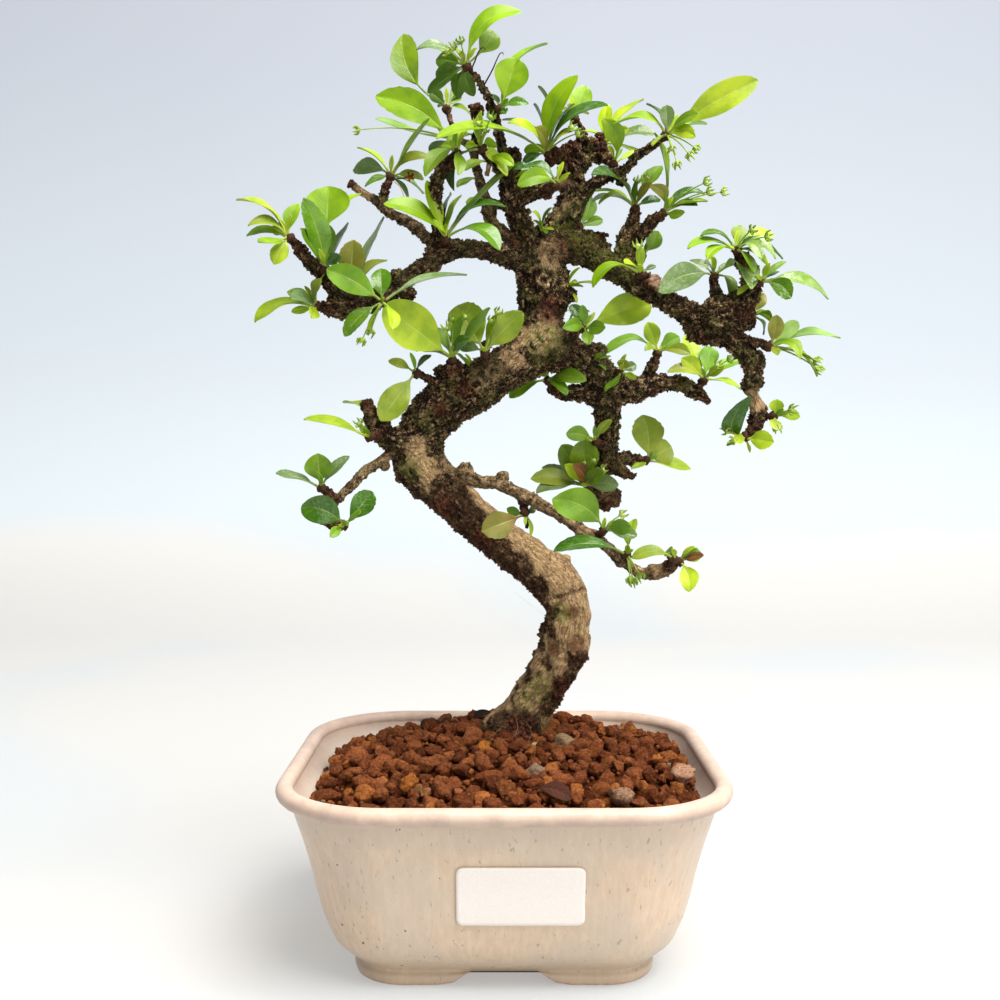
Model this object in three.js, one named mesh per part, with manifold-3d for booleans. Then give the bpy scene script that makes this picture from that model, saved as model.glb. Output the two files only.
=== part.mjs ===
// A fukien tea bonsai in its glazed pot. Millimetres, +Z up, +X to the right and +Y away from the viewer.
// The tree is one piece from its buried roots to its twigs. Each whorl of leaves is a piece of its own,
// seated on the end of the twig that carries it.
import * as THREE from 'three';
import { mergeVertices } from 'three/addons/utils/BufferGeometryUtils.js';
import Module from 'manifold-3d';

const wasm = await Module();
wasm.setup();

// Driving dimensions
const GAP = 0.3;                 // clearance between pieces that touch
const RIM_WIDTH = 150;           // pot across the lip, left to right
const RIM_DEPTH = 138;           // pot across the lip, front to back
const RIM_HEIGHT = 62.4;         // height of the lip's centre line
const LIP_RADIUS = 2.8;
const RIM_CORNER = 37;           // corner radius of the rim in plan
const FOOT_CORNER = 17;          // corner radius of the foot in plan
const FOOT_HEIGHT = 4.8;
const FLOOR_TOP = 10;            // top of the pot's floor
const ARCH_WIDTH = 34;           // arch between two feet
const DRAIN_RADIUS = 8;
const LABEL = { width: 40, low: 25, high: 45, right: 5, thickness: 0.5 };
const SOIL_EDGE = 62;            // soil height along the rim
const SOIL_CROWN = 68.5;         // soil height at the trunk
const GRAIN_PITCH = 6.6;         // spacing of the lumps that stand for the soil's grains
const GRAIN_RELIEF = 4.4;        // from the lowest to the highest of them
const HUB_RADIUS = 1.7;          // knot of buds that the leaves spring from
const BLADE_THICKNESS = 0.9;
const BARK_RELIEF = 0.16;        // unevenness of the bark as a share of the radius

// Places on the plant are given on the upright plane through the pot's centre, as the viewer sees them,
// with a depth behind that plane. The viewer's eye stands in front of the pot.
const EYE = { forward: 423, up: 175 };

// Each branch: its route as [right, depth, up, radius], and the leaves on its end,
// as [right, depth, up] from the end to the leaf's tip, then the width seen and the arch.
const BRANCHES = [
  { name: "trunk", route: [
    [-1.5, 20, 68.5, 14.75], [3.5, 20, 72, 12], [6, 20, 76, 10], [10, 19, 83, 8.75], [14.5, 18, 90, 8.5],
    [18.5, 17, 97, 8.75], [21.5, 17, 102.5, 9.25], [22, 16, 108.5, 8.75], [23, 16, 115.5, 8],
    [21, 16, 121.5, 8.25], [18.5, 15, 126, 8.75], [15, 15, 129, 8.5], [10, 14, 133, 8],
    [4, 14, 137.5, 7.75], [-4.5, 13, 144, 7.5], [-11.5, 13, 149.5, 7.5], [-19, 12, 157, 8],
    [-25.5, 12, 162.5, 8.75], [-29.5, 12, 168, 9.25], [-29.5, 12, 174, 8.5], [-28.5, 11, 180.5, 8],
    [-24, 11, 185.5, 8.75], [-17.5, 10, 191.5, 8.75], [-9.5, 10, 195, 8.5], [-1.5, 11, 200, 7.75],
    [6, 12, 205, 8.5], [13, 12, 212, 9.25], [13, 12, 218, 7.5], [13.5, 12, 225, 8.5],
    [14, 12, 230.5, 9.25], [12.5, 12, 237.5, 8.5], [14.5, 12, 244, 7.75]
  ] },
  { name: "left_low_bough", route: [
    [12, 12, 237.5, 5.25], [0.5, 10, 240.5, 3.75], [-8.5, 6, 242.5, 2.75], [-17.5, 2, 242.5, 3.25],
    [-22.5, -2, 240.5, 3.5], [-28, -4, 236.5, 3], [-35, -6, 232, 3], [-41, -8, 227.5, 3],
    [-47, -10, 224.5, 3.25], [-54.5, -11, 222.5, 3.25], [-60.5, -12, 222, 2.75], [-64, -12, 222.5, 1.75]
  ], leaves: [
    [-23, -6, -5, 5, 0.12], [-11, -14, 3, 4, 0.2], [-11, 0, 10, 4.5, 0.1], [-8, -15, -2, 3, 0.1],
    [0, -8, 10, 4, 0.05], [-5, -11, -6, 3.5, 0.1]
  ] },
  { name: "left_low_arm", route: [
    [-56, -11, 224, 2.75], [-59.5, -12, 228.5, 2.25], [-64, -14, 234, 2.25], [-68.5, -16, 239, 2],
    [-72, -18, 243.5, 2], [-74, -19, 245.5, 1.5]
  ], leaves: [
    [-20, -3, 14, 2, 0.05], [-17, -6, 5, 4, 0.3], [3, 2, 12, 4.5, 0.1], [-16, 7, 0, 4.5, 0.05],
    [-11, -13, -2, 4.5, 0.3], [-7, -5, -9, 5, -0.2], [1, -14, -6, 3, 0.2]
  ] },
  { name: "left_high_bough", route: [
    [-22.5, 0, 242, 2.5], [-26, 4, 246, 2], [-33, 10, 252, 2], [-40, 16, 255.5, 1.75],
    [-45.5, 20, 260, 1.5], [-51, 24, 263.5, 1.5], [-53.5, 26, 265.5, 1.5]
  ] },
  { name: "left_high_spur", route: [
    [-42.5, 17, 257, 1.5], [-41.5, 18, 262.5, 1.5], [-40, 18, 266.5, 1.25]
  ], leaves: [
    [-11, 1, 10, 2.5, 0.1], [14, -4, 20, 4, 0.05], [15, 1, 6, 2.5, 0.1], [-14, -7, 2, 5.5, 0.1],
    [12, -8, 1, 3, 0.15], [-5, -9, -5, 3, -0.1], [12, 4, -6, 4, -0.1]
  ] },
  { name: "left_fork_spur", route: [
    [-22.5, 0, 244, 2.75], [-22.5, -4, 252, 2.25], [-23.5, -6, 258, 2], [-24, -8, 263.5, 2],
    [-22.5, -10, 269, 2], [-19, -12, 273, 2], [-17.5, -12, 275, 1.5]
  ], leaves: [
    [-10, -10, -8, 4.5, 0.25], [3, -17, -9, 4, -0.1], [10, -9, -6, 3, 0.2], [-6, -6, 9, 3, 0.1]
  ] },
  { name: "left_fork_bud", route: [
    [-21, 0, 242.5, 1.5], [-20.5, -6, 246, 1.25]
  ], leaves: [
    [-21, -7, 12, 6, 0.1], [-6, -12, 18, 4.5, -0.05], [20, 1, 12, 4, 0.15], [18, -11, -5, 5, 0.35],
    [-5, -15, -3, 3, 0.2]
  ] },
  { name: "crown_left", route: [
    [12.5, 12, 240.5, 5.25], [8, 11, 247.5, 4], [4.5, 10, 254.5, 3.5], [2, 9, 262.5, 3.25],
    [2.5, 9, 268.5, 3.25], [3, 8, 273.5, 2.75]
  ] },
  { name: "crown_tip_twig", route: [
    [1.5, 9, 269.5, 1.75], [-0.5, 7, 277, 1.5], [-2, 5, 284, 1.5], [-3.5, 3, 290, 1.5], [-6, 1, 296, 1.25],
    [-9, -1, 301, 1.25], [-12, -3, 304.5, 1]
  ], leaves: [
    [18, -3, 17, 7, 0.06], [7, 3, 11, 6, 0.05], [-18, -5, 4, 3.5, 0.25], [-12, -8, -6, 6.5, -0.15],
    [12, 13, -2, 5, 0]
  ] },
  { name: "crown_back_twig", route: [
    [0.5, 10, 257.5, 1.75], [-6, 13, 260, 1.5], [-9, 16, 268.5, 1.5], [-11, 18, 277, 1.5],
    [-15, 20, 280.5, 1.25], [-17.5, 21, 284, 1], [-19.5, 23, 290, 1]
  ], leaves: [
    [-16, 3, 24, 11, 0.05], [-7, -3, 14, 4, 0.1], [8, 8, 10, 4, 0.1], [10, 7, -3, 3, 0.2]
  ] },
  { name: "crown_front_twig", route: [
    [2, 8, 266, 1.5], [-2.5, 0, 271, 1.25], [-7, -5, 276.5, 1.25]
  ], leaves: [
    [-8, -6, -18, 3.5, -0.3], [-10, -11, 1, 3, 0.3], [11, -10, -5, 4, 0.2]
  ] },
  { name: "crown_cross_twig", route: [
    [4.5, 9, 259, 1.75], [12.5, 2, 262, 1.5], [17, -2, 264.5, 1.5]
  ], leaves: [
    [12, -10, -2, 3, 0.1], [-4, -13, 4, 3, 0.2], [2, -12, 7, 3, 0.1]
  ] },
  { name: "crown_mid", route: [
    [15.5, 13, 246, 6.25], [20.5, 14, 252, 4.75], [23.5, 15, 259, 4.5], [24, 16, 265, 4],
    [23.5, 16, 270, 3.5], [22, 16, 274.5, 2.75]
  ] },
  { name: "crown_mid_arm", route: [
    [24, 16, 268, 2.75], [28, 19, 273, 2.5], [31, 21, 276.5, 2.5], [33.5, 22, 278.5, 2]
  ], leaves: [
    [2, 4, 13, 5, 0], [15, 6, 14, 3, 0.08], [19, -3, 3, 4, 0.15], [11, -7, 7, 3, 0.1],
    [17, -5, -4, 3.5, 0.15]
  ] },
  { name: "crown_mid_stub", route: [
    [29.5, 21, 277.5, 1.5], [27, 22, 284.5, 1], [25.5, 22, 286.5, 1]
  ], leaves: [
    [3, 2, 11, 7, 0], [-3, -4, 8, 3, 0.1], [9, -6, -2, 3, 0.2]
  ] },
  { name: "crown_mid_twig", route: [
    [19.5, 16, 273.5, 1.5], [16, 12, 275.5, 1.25]
  ], leaves: [
    [10, -10, 24, 7, 0.05], [-16, -9, 10, 3.5, 0.2], [-39, -21, 4, 4, 0.06], [-17, -1, 13, 3, 0.1],
    [18, -12, 17, 4, 0.1], [-3, 0, 21, 2.5, 0], [-5, -14, -4, 4, 0.1], [3, -18, -5, 3, 0.2]
  ] },
  { name: "right_high_twig", route: [
    [21, 13, 251, 3], [26, 9, 258, 2.5], [29, 6, 263.5, 2], [33, 4, 266.5, 2], [36.5, 2, 268, 2],
    [41.5, 0, 270, 1.5], [46, -3, 274.5, 1.5], [51.5, -6, 278.5, 1.25], [55, -7, 281, 1]
  ], leaves: [
    [33, -5, 18, 9.5, 0.04], [-15, 2, 3, 3, 0.08], [13, 4, 7, 4, 0.1], [1, -5, 10, 4.5, 0],
    [12, -10, -2, 4, 0.15], [-4, -10, -6, 3, 0.2]
  ] },
  { name: "right_high_spur", route: [
    [35, 3, 267.5, 1.5], [37.5, 4, 271, 1]
  ], leaves: [
    [-3, -2, 16, 7, 0], [10, 6, 4, 3.5, 0.2]
  ] },
  { name: "right_bough", route: [
    [14.5, 12, 243, 7], [24, 9, 243.5, 5.25], [30.5, 7, 241, 4.5], [36.5, 4, 237.5, 4.5],
    [42.5, 1, 234, 4.25], [49.5, -2, 229.5, 4.25], [57, -5, 225, 3.5], [64, -8, 220.5, 4],
    [70, -10, 216.5, 6], [77, -12, 213.5, 4.5], [82.5, -14, 209, 3.25], [86.5, -15, 204, 3],
    [87.5, -16, 199, 3], [86.5, -17, 194.5, 2.75], [88, -18, 191.5, 1.5], [89, -18, 188, 2.5],
    [89.5, -19, 184.5, 2.75], [87.5, -20, 180.5, 2], [86, -20, 178.5, 1.5]
  ], leaves: [
    [0, -12, 13, 6, -0.45], [9, -7, -3, 5.5, 0.2]
  ] },
  { name: "right_spur_left", route: [
    [41, 2, 235, 4.25], [42.5, 4, 242.5, 3.5], [43.5, 5, 247.5, 3], [45, 6, 252, 2.5],
    [45.5, 6, 255.5, 1.5]
  ], leaves: [
    [-15, -17, 11, 3, 0.15], [-13, -4, 3, 2.5, 0.12], [10, 2, 14, 5, 0.12], [9, 4, 5, 4.5, 0.12],
    [2, -9, -5, 3, -0.1]
  ] },
  { name: "right_spur_right", route: [
    [44.5, 4, 244, 2.75], [49.5, 0, 250, 2.25], [54.5, -2, 254.5, 1.75]
  ], leaves: [
    [2, -3, 26, 3, 0], [-7, -6, 10, 5, -0.35], [16, 1, 6, 4.5, 0.3], [14, -7, 3, 3.5, 0.1],
    [9, -7, -1, 3.5, -0.1]
  ] },
  { name: "right_dead_stub", route: [
    [22, 12, 247.5, 2], [28.5, 10, 248, 1.5], [34, 9, 247.5, 1], [37, 8, 248, 0.5]
  ] },
  { name: "right_web", route: [
    [25, 10, 246, 2.75], [31.5, 9, 245, 3], [36, 6, 242.5, 1.5]
  ] },
  { name: "right_cut_stub", route: [
    [51.5, -2, 230, 2], [53, -9, 231, 1.75]
  ] },
  { name: "right_bud_spur", route: [
    [48, -2, 230, 1.75], [48, -5, 233, 1.5]
  ], leaves: [
    [-16, -7, -4, 4, 0.35], [-1, -6, 11, 4, 0], [-6, -12, 5, 2.5, 0.1]
  ] },
  { name: "right_knee", route: [
    [69, -10, 215.5, 5.25], [74.5, -10, 218, 7.5], [80.5, -11, 220.5, 6.75], [84, -12, 223, 4.25]
  ] },
  { name: "right_knee_low", route: [
    [72, -10, 217.5, 6], [70, -11, 213.5, 4.25], [69, -12, 211, 2]
  ] },
  { name: "right_up_near", route: [
    [77, -10, 222.5, 4], [74.5, -8, 226, 2.25], [73.5, -6, 230, 1.75], [73.5, -6, 232, 1.5]
  ], leaves: [
    [-20, -5, -4, 8.5, 0.12], [-9, 3, 7, 3, 0], [7, 2, 6, 2.5, 0.1], [9, -22, -4, 5.5, 0.08],
    [5, 13, -8, 3, 0.3], [-4, -11, 6, 3, 0.2]
  ] },
  { name: "right_up_far", route: [
    [82, -12, 221.5, 4.5], [86, -14, 228, 3.25], [86.5, -16, 233, 2.75], [84, -17, 237.5, 2.5],
    [82, -18, 241, 1.75]
  ], leaves: [
    [-13, -3, 6, 3, 0.25], [-17, -5, 1, 3, 0.18], [-11, -10, -2, 3, 0.1], [1, 3, 8, 6, 0],
    [10, -6, -3, 6, 0.2], [11, 4, 7, 4.5, 0.1], [9, -10, 3, 3, 0.1], [5, -11, -7, 4, 0.3],
    [14, 2, 2, 4, 0.15]
  ] },
  { name: "right_end_twig", route: [
    [79.5, -13, 212.5, 2], [85, -15, 211.5, 1.5], [91.5, -18, 209.5, 1.5]
  ], leaves: [
    [4, -5, 10, 6, 0], [11, 0, 8, 4.5, 0.1], [26, 2, 2, 3, 0.08], [12, -9, -5, 4, 0.4],
    [4, -8, -4, 3, 0.1]
  ] },
  { name: "right_end_spur", route: [
    [84, -12, 223, 2.5], [86, -10, 221, 1.5]
  ], leaves: [
    [8, 3, 5, 4, 0.1], [8, -4, -4, 3, 0.3]
  ] },
  { name: "back_bough", route: [
    [14.5, 14, 208.5, 8], [24, 20, 205.5, 6.75], [31.5, 26, 201.5, 6], [36, 30, 196, 5.75],
    [36.5, 33, 189.5, 5], [36.5, 36, 182.5, 4.25], [36.5, 38, 176, 4], [36, 40, 170.5, 4],
    [34, 41, 165, 3.5], [33.5, 41, 160, 3.25], [36.5, 41, 156, 3.5], [35, 41, 151.5, 1.75]
  ] },
  { name: "back_right_arm", route: [
    [36.5, 30, 194.5, 5], [43.5, 33, 193.5, 4.5], [49.5, 36, 195, 4], [55.5, 38, 196, 3],
    [62, 40, 196, 2.75], [66.5, 41, 193.5, 2.75], [70.5, 42, 191, 1.5], [72.5, 42, 189.5, 1]
  ] },
  { name: "back_arm_spur", route: [
    [49.5, 36, 194.5, 2.75], [51.5, 37, 200.5, 2.25], [53.5, 38, 205.5, 1.5]
  ], leaves: [
    [-3, -3, 12, 5.5, 0], [8, 1, 7, 5.5, 0.1], [-19, -5, 0, 3, 0.25], [8, 5, 4, 2.5, 0.1],
    [12, -6, 1, 3.5, 0.15]
  ] },
  { name: "back_left_stub", route: [
    [34.5, 30, 191, 4], [27, 26, 193, 2.75], [20.5, 23, 192.5, 2.5], [17.5, 22, 194, 1.5]
  ] },
  { name: "back_left_bud", route: [
    [18.5, 22, 192.5, 1.5], [16, 20, 196, 1]
  ], leaves: [
    [13, -11, 1, 4.5, 0], [-14, -4, -5, 4, 0.1], [-2, 1, 4, 2.5, 0.1], [6, -11, -4, 3, 0.1]
  ] },
  { name: "back_low_stub", route: [
    [35, 40, 168.5, 3.25], [42.5, 44, 169.5, 2.5], [49, 46, 169, 1.75]
  ], leaves: [
    [0, -2, 16, 10.5, 0], [10, 3, 5, 9, 0.05], [17, 5, -3, 3.5, 0]
  ] },
  { name: "back_low_tip", route: [
    [36, 40, 168, 3.25], [41.5, 40, 165.5, 2.25], [46, 40, 163, 1.5]
  ] },
  { name: "back_arm_bud", route: [
    [67.5, 41, 193, 2], [69.5, 40, 196, 1.25]
  ], leaves: [
    [-7, -4, 9, 5.5, 0.05], [-12, -6, 4, 3, 0.1], [3, 3, 13, 6, 0], [14, 2, 8, 3, 0.1],
    [-6, 5, 17, 5.5, 0]
  ] },
  { name: "back_top_bud", route: [
    [36.5, 27, 198.5, 1.75], [39.5, 25, 199.5, 1]
  ], leaves: [
    [3, -4, 5, 4, 0], [7, 1, 3, 3, 0.1]
  ] },
  { name: "front_bough", route: [
    [-20.5, 10, 162, 4.25], [-14.5, 5, 163.5, 3], [-8.5, 0, 161.5, 2.25], [-2.5, -4, 161, 2.25],
    [3, -8, 158.5, 2.25], [9, -11, 155.5, 2.25], [15.5, -14, 152, 2], [22.5, -17, 148, 2],
    [29.5, -20, 142.5, 2.5], [34, -22, 140.5, 2], [39.5, -24, 135.5, 2], [44.5, -26, 131.5, 1.75],
    [49, -27, 129, 2], [53, -28, 129.5, 2.25], [58, -29, 131, 2.25], [60.5, -30, 132.5, 1.5]
  ], leaves: [
    [9, 1, 4, 4, 0.1], [5, -5, -10, 5.5, 0.1]
  ] },
  { name: "front_stub", route: [
    [6, -9, 156.5, 1.75], [7, -10, 152, 1.25]
  ], leaves: [
    [-15, -6, -8, 8, 0.05], [-6, 3, 0, 2.5, 0.1]
  ] },
  { name: "front_top_bud", route: [
    [31.5, -21, 141.5, 1.5], [34, -23, 143.5, 1]
  ], leaves: [
    [-17, -7, 12, 9.5, 0.2], [11, -8, 2, 4.5, 0.1], [13, -4, -1, 3, 0]
  ] },
  { name: "left_mid_stub", route: [
    [-28, 10, 176, 5], [-36.5, 6, 176, 4.25], [-41, 3, 177.5, 4], [-45, 0, 181, 3.25],
    [-47, -2, 185.5, 2.75], [-48.5, -3, 190, 2]
  ] },
  { name: "left_mid_bud", route: [
    [-43, 0, 179, 1.75], [-46.5, -6, 177.5, 1.25]
  ], leaves: [
    [-24, -5, 6, 5, 0.06]
  ] },
  { name: "left_mid_top_bud", route: [
    [-41.5, 4, 178.5, 2], [-41.5, 5, 181.5, 1.5]
  ], leaves: [
    [4, 4, 7, 3, 0]
  ] },
  { name: "left_low_twig", route: [
    [-34, 10, 172, 3.25], [-40, 5, 171, 2], [-44.5, 1, 168, 1.75], [-49, -3, 165, 1.75],
    [-53.5, -7, 160.5, 1.75], [-58, -10, 156, 1.5], [-60.5, -12, 152.5, 1.5], [-62, -12, 148.5, 1.75],
    [-65.5, -13, 147.5, 1.25]
  ] },
  { name: "left_low_top_spur", route: [
    [-59, -11, 154.5, 1.5], [-61.5, -14, 157, 1.5], [-63.5, -16, 158.5, 1.25]
  ], leaves: [
    [-2, -4, 13, 8, 0], [9, 1, 12, 3, -0.05]
  ] },
  { name: "left_low_end_spur", route: [
    [-62.5, -12, 148.5, 2], [-60, -15, 146, 2], [-57.5, -18, 146, 1.25]
  ], leaves: [
    [-14, -6, 7, 8.5, 0.2], [11, 1, 12, 6.5, 0], [-4, -9, -4, 2.5, 0.1]
  ] },
  { name: "trunk_knob", route: [
    [-16, 8, 196, 3.25], [-17.5, 2, 200.5, 2.75], [-18, -1, 203.5, 2.25]
  ], leaves: [
    [-24, -12, 20, 13, 0], [13, -8, 19, 3, -0.1], [3, -4, 16, 3, 0], [-5, 1, 12, 3, 0],
    [6, -12, 8, 3, 0.2]
  ] },
  { name: "trunk_mid_spur", route: [
    [-5.5, 6, 202, 2], [-6.5, -2, 206, 1.5]
  ], leaves: [
    [-10, 7, 17, 11.5, 0], [13, -7, 15, 8, 0.05], [-9, 1, 2, 3, 0.25], [4, 2, 10, 4, 0]
  ] },
  { name: "trunk_left_spur", route: [
    [-20.5, 8, 193.5, 2.5], [-25.5, 4, 197, 1.5], [-29.5, 2, 199, 1.25]
  ], leaves: [
    [-14, -7, -16, 8.5, -0.05], [-11, 0, 5, 2.5, 0.1]
  ] },
  { name: "trunk_right_spur", route: [
    [18.5, 8, 209, 3.25], [24, 6, 213, 2], [26.5, 5, 214.5, 1.25]
  ], leaves: [
    [25, 2, 9, 9.5, 0.1], [9, -9, 1, 4, 0], [-3, 2, 9, 3.5, 0], [1, -4, 9, 2.5, 0], [-6, -9, 1, 4, 0.1],
    [3, -8, -5, 3.5, 0]
  ] },
  { name: "back_side_bud", route: [
    [36, 34, 173.5, 1.5], [33, 28, 175.5, 1]
  ], leaves: [
    [-11, -5, 3, 5, 0.2], [5, 1, 8, 2.5, 0]
  ] },
  { name: "back_cluster_bud", route: [
    [34, 38, 162, 1.5], [30.5, 34, 160.5, 1]
  ], leaves: [
    [-21, -5, 2, 5.5, 0.1], [-17, 3, 6, 3, 0.1], [-9, -8, 7, 4, 0.05], [-19, -10, -3, 2.5, 0.12],
    [-10, 0, 14, 7.5, 0.05], [-2, -6, 16, 9, 0], [3, -11, 6, 4, 0.05], [10, -7, 0, 5.5, 0.2],
    [-6, -14, 7, 4, 0.1]
  ] },
  { name: "stem_back_bud", route: [
    [19.5, 14, 249, 1.5], [25.5, 22, 250, 1]
  ], leaves: [
    [5, 5, 11, 5, -0.1], [9, 6, 3, 3, 0.1]
  ] },
  { name: "left_arm_spur", route: [
    [-62.5, -14, 232.5, 1.5], [-62.5, -17, 235, 1]
  ], leaves: [
    [-8, -4, 24, 5, 0.05], [-3, -11, 17, 6.5, 0.1], [-1, 2, 29, 12, 0], [-8, -14, 14, 3, 0.2],
    [8, 4, 16, 2.5, -0.1], [6, -12, 5, 3.5, 0.2], [14, 6, 25, 5, 0.05]
  ] },
  { name: "left_low_arm_spur", route: [
    [-53, -11, 224, 1.5], [-53, -14, 227, 1]
  ], leaves: [
    [2, -4, 18, 8, 0.05], [11, 4, 26, 3, -0.1], [12, 7, 11, 4, 0.05], [-7, -3, 11, 3.5, 0.1]
  ] },
  { name: "left_mid_cup_spur", route: [
    [-42, -8, 227, 1.75], [-42.5, -16, 225, 1]
  ], leaves: [
    [-20, -8, 11, 8.5, 0.1], [-1, 3, 11, 6.5, 0], [-14, -6, -12, 5, 0.05], [29, 5, 8, 3, 0.12],
    [3, -12, -10, 3.5, 0.2]
  ] },
  { name: "crown_back_spur", route: [
    [-15, 20, 281, 1], [-17, 22, 281, 1]
  ], leaves: [
    [-27, 4, 12, 11, 0.05], [-9, 3, -6, 5, -0.1], [-19, 5, 4, 3.5, 0.2]
  ] },
  { name: "crown_side_spur", route: [
    [-3.5, 3, 289, 1.25], [-2, 0, 290.5, 1]
  ], leaves: [
    [6, -3, 16, 10.5, 0], [17, 4, 20, 4, 0.05], [11, -3, 1, 3.5, 0.2], [-7, -9, 5, 3.5, 0.2],
    [4, -11, -4, 3, 0.2]
  ] },
  { name: "right_knee_spur", route: [
    [46, 4, 237.5, 2], [48, 11, 240, 1]
  ], leaves: [
    [6, 2, 9, 5, -0.1]
  ] },
  { name: "right_far_spur", route: [
    [87, -15, 231, 1.75], [89, -20, 231.5, 1]
  ], leaves: [
    [9, -3, 8, 3, 0.05], [4, -6, 7, 3, 0], [7, 3, 3, 2.5, 0.05], [12, -8, -4, 6.5, 0.18],
    [25, 4, -6, 6, 0.12], [-8, -1, -5, 3, 0.1]
  ] },
  { name: "right_low_spur", route: [
    [89, -19, 184.5, 1.5], [93, -20, 184.5, 1]
  ], leaves: [
    [3, -2, 6, 4, 0.1], [11, 3, 0, 3, 0.15]
  ] },
  { name: "front_low_spur", route: [
    [41.5, -24, 134, 1.5], [42.5, -26, 135, 1]
  ], leaves: [
    [3, 10, 13, 2.5, 0], [-25, -4, 2, 3, 0.12]
  ] },
  { name: "front_end_spur", route: [
    [57, -29, 131.5, 1.5], [59, -32, 133.5, 1]
  ], leaves: [
    [-14, -2, 1, 3, 0.2], [-2, 5, 3, 3, 0.1]
  ] },
];

// Knobs and old pruning scars: [right, depth, up, radius]
const KNOBS = [
  [2.5, 8, 274.5, 3.5], [33, 21, 275, 3], [75.5, -14, 217.5, 6.5], [82.5, -12, 225, 4],
  [70, -12, 213.5, 4], [88, -14, 203.5, 3.5], [87.5, -18, 196.5, 3], [22.5, 10, 227, 3], [38, 42, 156, 4],
  [19.5, 4, 207, 3], [33, 24, 207.5, 3], [34, 22, 200, 4], [25.5, 9, 101.5, 3],
];

// Roots in the soil: [right, depth, up, radius] down the stump to their fork, and at their ends
const ROOT_STUMP = [[-1.5, 20, 70, 14], [0, 20, 60, 13]];
const ROOT_FORK = [2, 20, 48, 9];
const ROOT_RADIUS = 6;           // where they leave the fork
const ROOT_ENDS = [
  [-38, 14, 36, 1.6], [-14, 46, 38, 1.8], [32, 44, 36, 1.6], [44, 10, 38, 1.8], [8, -24, 34, 1.6],
];

const random = (() => {
  let state = 20117;
  return () => {
    state = (state * 16807) % 2147483647;
    return state / 2147483647;
  };
})();

function place(right, depth, up) {
  const scale = 1 + depth / EYE.forward;
  return new THREE.Vector3(right * scale, depth, EYE.up + (up - EYE.up) * scale);
}

// Solids and meshes

function solid(geometry) {
  const bare = new THREE.BufferGeometry();
  bare.setAttribute('position', geometry.attributes.position.clone());
  if (geometry.index) bare.setIndex(geometry.index.clone());
  const merged = mergeVertices(bare, 1e-4);
  return new wasm.Manifold(new wasm.Mesh({
    numProp: 3,
    vertProperties: new Float32Array(merged.attributes.position.array),
    triVerts: new Uint32Array(merged.index.array),
  }));
}

function join(solids) {
  let parts = solids;
  while (parts.length > 1) {
    const next = [];
    for (let i = 0; i < parts.length; i += 2) {
      next.push(i + 1 < parts.length ? parts[i].add(parts[i + 1]) : parts[i]);
    }
    parts = next;
  }
  return parts[0];
}

// The biggest closed shell of a solid, without loose scraps and sealed hollows
function mainShell(part) {
  const shells = part.decompose();
  return shells.reduce((best, shell) => (shell.volume() > best.volume() ? shell : best));
}

function mesh(name, part, colour, roughness) {
  const data = part.getMesh();
  const geometry = new THREE.BufferGeometry();
  geometry.setAttribute('position', new THREE.BufferAttribute(new Float32Array(data.vertProperties), 3));
  geometry.setIndex(new THREE.BufferAttribute(new Uint32Array(data.triVerts), 1));
  geometry.computeVertexNormals();
  const material = new THREE.MeshStandardMaterial({ color: colour, roughness, metalness: 0 });
  const result = new THREE.Mesh(geometry, material);
  result.name = name;
  return result;
}

// Closed surface through rings that have the same number of points each, with both ends capped
function loft(rings) {
  const count = rings[0].length;
  const positions = [];
  const index = [];
  for (const ring of rings) {
    for (const point of ring) positions.push(point.x, point.y, point.z);
  }
  for (let level = 0; level + 1 < rings.length; level++) {
    for (let i = 0; i < count; i++) {
      const a = level * count + i;
      const b = level * count + (i + 1) % count;
      index.push(a, b, b + count, a, b + count, a + count);
    }
  }
  const last = (rings.length - 1) * count;
  for (let i = 1; i + 1 < count; i++) {
    index.push(0, i + 1, i);
    index.push(last, last + i, last + i + 1);
  }
  const geometry = new THREE.BufferGeometry();
  geometry.setAttribute('position', new THREE.BufferAttribute(new Float32Array(positions), 3));
  geometry.setIndex(index);
  return solid(geometry);
}

// Pot and soil: rounded squares one above the other

const DEPTH_DIFFERENCE = (RIM_WIDTH - RIM_DEPTH) / 2;
const CORNER_STEPS = 4;
const SMALLEST_CORNER = 4;

function roundedRing(halfWidth, height, grow = 0) {
  const halfDepth = halfWidth - DEPTH_DIFFERENCE;
  const rimHalf = RIM_WIDTH / 2;
  const footHalf = RIM_WIDTH / 3;
  const corner = THREE.MathUtils.mapLinear(halfWidth, footHalf, rimHalf, FOOT_CORNER, RIM_CORNER);
  const radius = Math.max(corner, SMALLEST_CORNER) + grow;
  const points = [];
  for (let quarter = 0; quarter < 4; quarter++) {
    const signX = quarter === 0 || quarter === 3 ? 1 : -1;
    const signY = quarter < 2 ? 1 : -1;
    const centreX = signX * (halfWidth + grow - radius);
    const centreY = signY * (halfDepth + grow - radius);
    for (let step = 0; step <= CORNER_STEPS; step++) {
      const angle = (quarter + step / CORNER_STEPS) * Math.PI / 2;
      points.push(new THREE.Vector3(
        centreX + radius * Math.cos(angle), centreY + radius * Math.sin(angle), height));
    }
  }
  return points;
}

// Half widths of the pot by height, outside from the foot up, and inside from the lip down
const LIP_CENTRE = RIM_WIDTH / 2 - LIP_RADIUS;
const OUTSIDE = [
  [49.2, 0], [50, 3], [49.2, 5], [51.2, 7], [54, 9.5], [56.6, 12.5], [59.6, 19.5], [61.8, 27],
  [63.8, 36], [66.2, 45], [68.4, 52], [70.4, 58.5],
];
const INSIDE = [[65.5, 57], [61.5, 45], [57, 30], [53, 18], [48, 12], [42, FLOOR_TOP]];
const FOOT_INNER = 40;           // half width of the recess between the feet

// The lip's round section, from its underside over the top to its inner side, in degrees
const LIP_START = -50;
const LIP_TURN = 250;
const LIP_STEPS = 8;

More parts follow.
